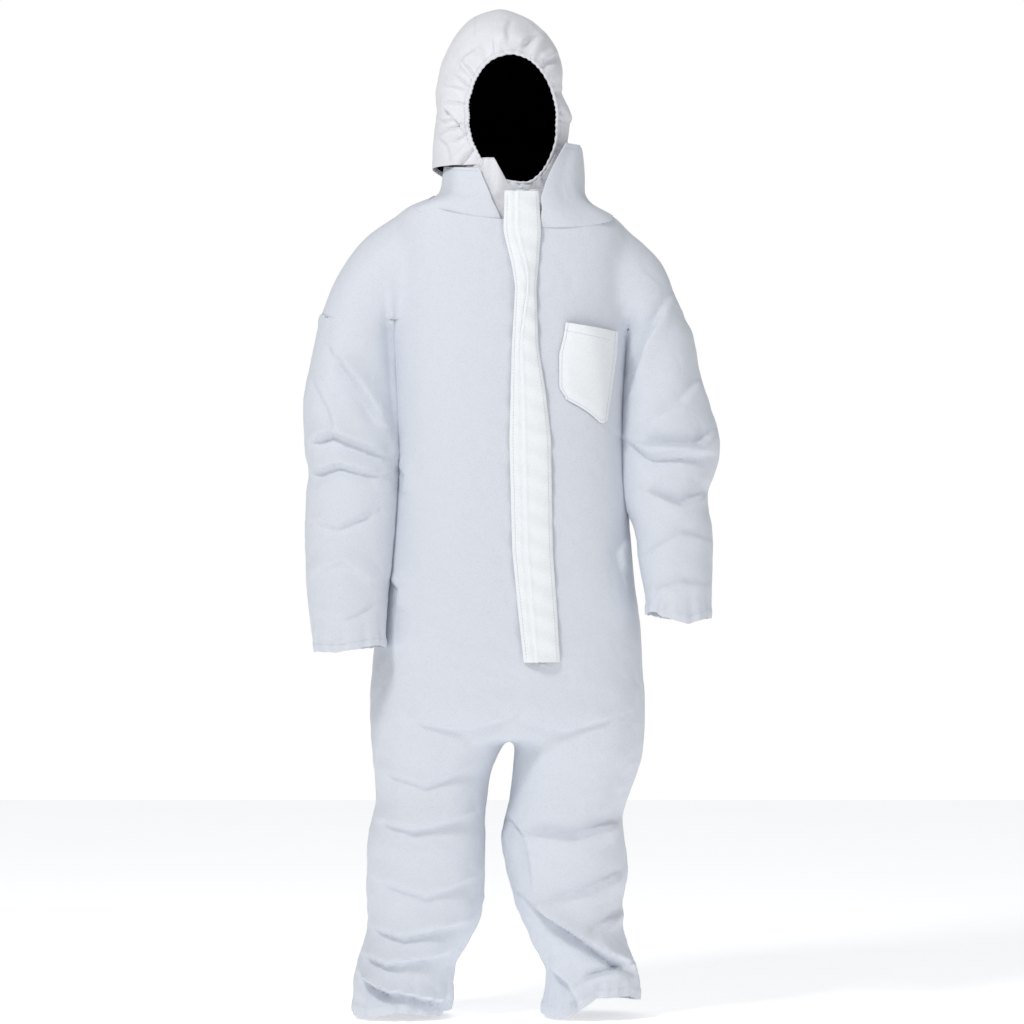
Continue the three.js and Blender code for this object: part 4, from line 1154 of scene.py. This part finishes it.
# %% Woven tape and moulded plastic
woven_tape, tree = new_material("woven polyester tape")
where = node(tree, "TexCoord").outputs["Object"]
THREAD = 0.0012  # threads are 0.4 mm apart; drawn three times as coarse
along_threads = node(tree, "TexWave", {"wave_type": "BANDS", "bands_direction": "Z", "Scale": 0.314 / THREAD},
    Vector=where)
across_threads = node(tree, "TexWave", {"wave_type": "BANDS", "bands_direction": "X", "Scale": 0.314 / THREAD},
    Vector=where)
weave = node(tree, "Math", {"operation": "MULTIPLY"}, i0=along_threads.outputs["Fac"],
    i1=across_threads.outputs["Fac"])
yarn = node(tree, "Mix", {"data_type": "RGBA", 6: colour("#C9CED6"), 7: colour("#E9ECF0")}, i0=weave.outputs[0])
ribs = node(tree, "Bump", {"Strength": 0.5, "Distance": 0.0004}, Height=weave.outputs[0])
node(tree, "OutputMaterial", Surface=node(tree, "BsdfPrincipled", {"Roughness": 0.8, "Sheen Weight": 0.2},
    Base_Color=yarn.outputs[2], Normal=ribs.outputs["Normal"]).outputs["BSDF"])

acetal, tree = new_material("moulded acetal")
where = node(tree, "TexCoord").outputs["Object"]
flow = node(tree, "TexNoise", {"Scale": 300.0, "Detail": 2.0}, Vector=where)
milky = node(tree, "Mix", {"data_type": "RGBA", 6: colour("#DDE1E7"), 7: colour("#EEF0F3")},
    i0=flow.outputs["Fac"])
satin = node(tree, "MapRange", {"To Min": 0.28, "To Max": 0.42}, Value=flow.outputs["Fac"])
orange_peel = node(tree, "Bump", {"Strength": 0.15, "Distance": 0.0002}, Height=flow.outputs["Fac"])
node(tree, "OutputMaterial", Surface=node(tree, "BsdfPrincipled", {"IOR": 1.48}, Base_Color=milky.outputs[2],
    Roughness=satin.outputs["Result"], Normal=orange_peel.outputs["Normal"]).outputs["BSDF"])

# %% Tapes, teeth, stops and slider
TAPE_WIDTH, TOOTH_PITCH = 0.0155, 0.002
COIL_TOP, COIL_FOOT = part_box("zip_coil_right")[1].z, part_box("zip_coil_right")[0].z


def tape_place(side):
    def place(around, along):
        z = COIL_FOOT - 0.006 + (COIL_TOP - COIL_FOOT + 0.012) * along
        x = zip_middle(z) + side * (0.0002 + TAPE_WIDTH * around)
        return np.stack((x, front_y(x, z) + 0.0034, z), axis=1)
    return place


tapes = {}
for name, side in (("right", -1), ("left", 1)):
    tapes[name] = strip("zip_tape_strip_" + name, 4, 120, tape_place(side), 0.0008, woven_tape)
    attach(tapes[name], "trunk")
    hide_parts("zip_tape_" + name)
    teeth = bmesh.new()
    for z in np.arange(COIL_FOOT + 0.001 + (0.001 if side > 0 else 0), COIL_TOP, TOOTH_PITCH):
        place = Vector((float(zip_middle(z)) + side * 0.0013, float(zip_depth(z)) + 0.0011, float(z)))
        bmesh.ops.create_cube(teeth, size=1,
            matrix=Matrix.Translation(place) @ Matrix.Diagonal((0.0034, 0.0030, 0.0013, 1)))
    coil = mesh_object("zip_teeth_" + name, teeth)
    coil.data.materials.append(acetal)
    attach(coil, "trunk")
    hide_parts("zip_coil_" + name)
for name in ("zip_top_stop_right", "zip_top_stop_left", "zip_bottom_stop", "zip_slider", "zip_pull_tab"):
    hard = bpy.data.objects[name]
    hard.data.materials.clear()
    hard.data.materials.append(acetal)
print("teeth on each side", int((COIL_TOP - COIL_FOOT) / TOOTH_PITCH))

# %% [markdown]
# ## Stitching
# The hems and edges are sewn with a lockstitch, about 3 mm to a stitch. A dashed line in a texture would
# be flat and would need a map on every panel, so each stitch is a small block of thread that is laid on the
# finished cloth: a ray is sent at the cloth from outside, and the stitch is put where it lands.

# %% Thread, and a row of stitches
thread, tree = new_material("twisted polyester thread")
twist = node(tree, "TexWave", {"bands_direction": "DIAGONAL", "Scale": 400.0},
    Vector=node(tree, "TexCoord").outputs["Object"])
ply = node(tree, "Mix", {"data_type": "RGBA", 6: colour("#C2C8D2"), 7: colour("#DFE3EA")},
    i0=twist.outputs["Fac"])
strand = node(tree, "Bump", {"Strength": 0.3, "Distance": 0.0003}, Height=twist.outputs["Fac"])
node(tree, "OutputMaterial", Surface=node(tree, "BsdfPrincipled", {"Roughness": 0.55, "Sheen Weight": 0.3},
    Base_Color=ply.outputs[2], Normal=strand.outputs["Normal"]).outputs["BSDF"])
STITCH = (0.0040, 0.0009, 0.0008)  # drawn longer than the real 3 mm so that it shows


def surface_of(*objects):
    corners, faces = [], []
    for one in objects:
        first = len(corners)
        corners += [v.co.copy() for v in one.data.vertices]
        faces += [[first + i for i in p.vertices] for p in one.data.polygons]
    return BVHTree.FromPolygons(corners, faces)


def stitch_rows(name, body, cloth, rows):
    """rows holds pairs of (starting points outside the cloth, directions towards it)"""
    tree_of_faces, bm, count = surface_of(*cloth), bmesh.new(), 0
    for starts, directions in rows:
        hits = [tree_of_faces.ray_cast(Vector(a), Vector(b).normalized(), 0.12)[:2] for a,
            b in zip(starts, directions)]
        for (here, out), (ahead, _) in zip(hits[:-1], hits[1:]):
            if here is None or ahead is None or not 0.0015 < (ahead - here).length < 0.010:
                continue
            run = (ahead - here).normalized()
            across = out.cross(run).normalized()
            turn = Matrix((run, across, run.cross(across))).transposed().to_4x4()
            bmesh.ops.create_cube(bm, size=1,
                matrix=Matrix.Translation((here + ahead) / 2) @ turn @ Matrix.Diagonal((*STITCH, 1)))
            count += 1
    made = mesh_object(name, bm)
    made.data.materials.append(thread)
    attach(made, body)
    print(name, count, "stitches")
    return made


def facing(points_on_front, back=0.03):
    starts = np.array(points_on_front) - [0, back, 0]
    return starts, np.tile([0.0, 1.0, 0.0], (len(starts), 1))


def ring(middle, height_of, reach=0.16, step=0.0055, radius=0.07):
    angles = np.arange(0, 2 * math.pi, step / radius)
    starts = np.stack((middle[0] + reach * np.cos(angles), middle[1] + reach * np.sin(angles),
        height_of(angles)), axis=1)
    return starts, np.stack((-np.cos(angles), -np.sin(angles), 0 * angles), axis=1)


# %% Stitches on the flap, the pocket, the hems and the hood
zs = np.arange(FLAP_FOOT + 0.006, FLAP_TOP - 0.004, 0.0055)
flap_rows = [facing(np.stack((flap_right(zs) + (flap_left(zs) - flap_right(zs)) * at,
    front_y(flap_right(zs), zs) - 0.02, zs), axis=1)) for at in (0.09, 0.91)]
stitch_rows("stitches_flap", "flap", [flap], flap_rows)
t = np.linspace(0.0, 1.0, 36)
pocket_rows = [facing(pocket_place(a, b)) for a,
    b in ((0 * t + 0.045, t), (0 * t + 0.955, t), (t[::2], 0 * t[::2] + 0.03), (t[::2], 0 * t[::2] + 0.895))]
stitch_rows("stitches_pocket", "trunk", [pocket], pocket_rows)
for name, side in (("right", -1), ("left", 1)):
    for part, body, low, band, line in (("cuff", "forearm_", CUFFS[name], HEM_BAND["cuff"], CUFF_LINES[name]),
        ("ankle", "shin_", HEM, HEM_BAND["ankle"], HEM_LINES[name])):
        cloth = panels[part + "_band_" + name]
        box = points(cloth.data)
        middle = (box.min(axis=0) + box.max(axis=0)) / 2
        xs, rises = zip(*line)

        def seam_height(angles, half=(box[:, 0].max() - box[:, 0].min()) / 2):
            rise = np.interp(middle[0] + half * np.cos(angles), xs, rises)
            return low + 0.8 * band + 0.9 * rise * (0.5 + 0.5 * np.clip(-1.6 * np.sin(angles), 0, 1))
        stitch_rows("stitches_" + part + "_" + name, body + name, [cloth], [ring(middle, seam_height)])
    u = np.linspace(0.01, 0.99, 60)
    edge = collar_place(name)(u, 0 * u + 0.93)
    out = edge * [1, 1, 0] / np.linalg.norm(edge[:, :2], axis=1)[:, None]
    stitch_rows("stitches_collar_" + name, "trunk", [panels["collar_half_" + name]],
        [(edge + 0.04 * out, -out)])
theta = np.linspace(0, 2 * math.pi, 130)
beside_hem = hood_point(theta, np.full(130, 0.004)) + 0.006 * np.stack((np.cos(theta), 0 * theta,
    np.sin(theta)), axis=1)
over = np.arange(-0.2, 3.9, 0.030)
seams = []
for x in (seam_right - 0.004, seam_left + 0.004):
    reach = 0.28
    seams.append((np.stack((0 * over + x, HOOD_Y - reach * np.cos(over), 0.15 + reach * np.sin(over)), axis=1),
        np.stack((0 * over, np.cos(over), -np.sin(over)), axis=1)))
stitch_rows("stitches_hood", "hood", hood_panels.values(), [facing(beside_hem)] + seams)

# %% [markdown]
# ## Flat sizes of the cloth
# The flat size that each piece of cloth would be cut to is not declared in this script. The area of the
# finished cloth was measured, and a likely cut was chosen near it.

# %% Flat sizes
print("no flat sheet sizes declared")

# %% [markdown]
# ## Studio
# A pale floor, a white surround, a large soft light from above and in front, and a weaker one from the
# side: this is how pale cloth is shown on white without losing its folds. The camera stands far off with a
# long lens, level with the waist.

# %% Floor, light and camera
floor_bm = bmesh.new()
bmesh.ops.create_grid(floor_bm, x_segments=1, y_segments=1, size=6)
bmesh.ops.translate(floor_bm, verts=floor_bm.verts, vec=(0, 0, HEM - 0.008))
floor = mesh_object("floor", floor_bm)
floor_paint, tree = new_material("matt white floor paint")
grain = node(tree, "TexNoise", {"Scale": 3.0, "Detail": 2.0}, Vector=node(tree, "TexCoord").outputs["Object"])
tone = node(tree, "Mix", {"data_type": "RGBA", 6: colour("#FBFBFC"), 7: colour("#FFFFFF")},
    i0=grain.outputs["Fac"])
node(tree, "OutputMaterial", Surface=node(tree, "BsdfPrincipled",
    {"Roughness": 0.9, "Specular IOR Level": 0.1, "Emission Color": (1, 1, 1, 1), "Emission Strength": 0.5},
    Base_Color=tone.outputs[2]).outputs["BSDF"])
floor.data.materials.append(floor_paint)

world = bpy.data.worlds.new("white surround")
bpy.context.scene.world = world
world.use_nodes = True
tree = world.node_tree
tree.nodes.clear()
glow = node(tree, "Background", {"Color": (0.96, 0.98, 1, 1), "Strength": 0.42})
plain = node(tree, "Background", {"Color": (1, 1, 1, 1), "Strength": 1.0})
seen = node(tree, "LightPath").outputs["Is Camera Ray"]
node(tree, "OutputWorld", Surface=node(tree, "MixShader", i0=seen, i1=glow.outputs[0],
    i2=plain.outputs[0]).outputs[0])


def soft_light(name, place, target, size, power):
    data = bpy.data.lights.new(name, "AREA")
    data.shape, data.size, data.energy = "DISK", size, power
    lamp = bpy.data.objects.new(name, data)
    lamp.location = place
    lamp.rotation_euler = (Vector(target) - Vector(place)).to_track_quat("-Z", "Y").to_euler()
    bpy.context.scene.collection.objects.link(lamp)


soft_light("key", (-1.7, -2.3, 2.3), (0, 0, -0.4), 0.8, 62)
soft_light("fill", (2.6, -3.0, 0.6), (0, 0, -0.6), 1.6, 13)
camera_data = bpy.data.cameras.new("camera")
camera_data.lens, camera_data.sensor_width = 162, 36
camera_data.clip_end = 60
camera = bpy.data.objects.new("camera", camera_data)
camera.location, camera.rotation_euler = (0, -8, -0.532), (math.pi / 2, 0, 0)
bpy.context.scene.collection.objects.link(camera)
bpy.context.scene.camera = camera
bpy.context.scene.view_settings.view_transform = "Standard"
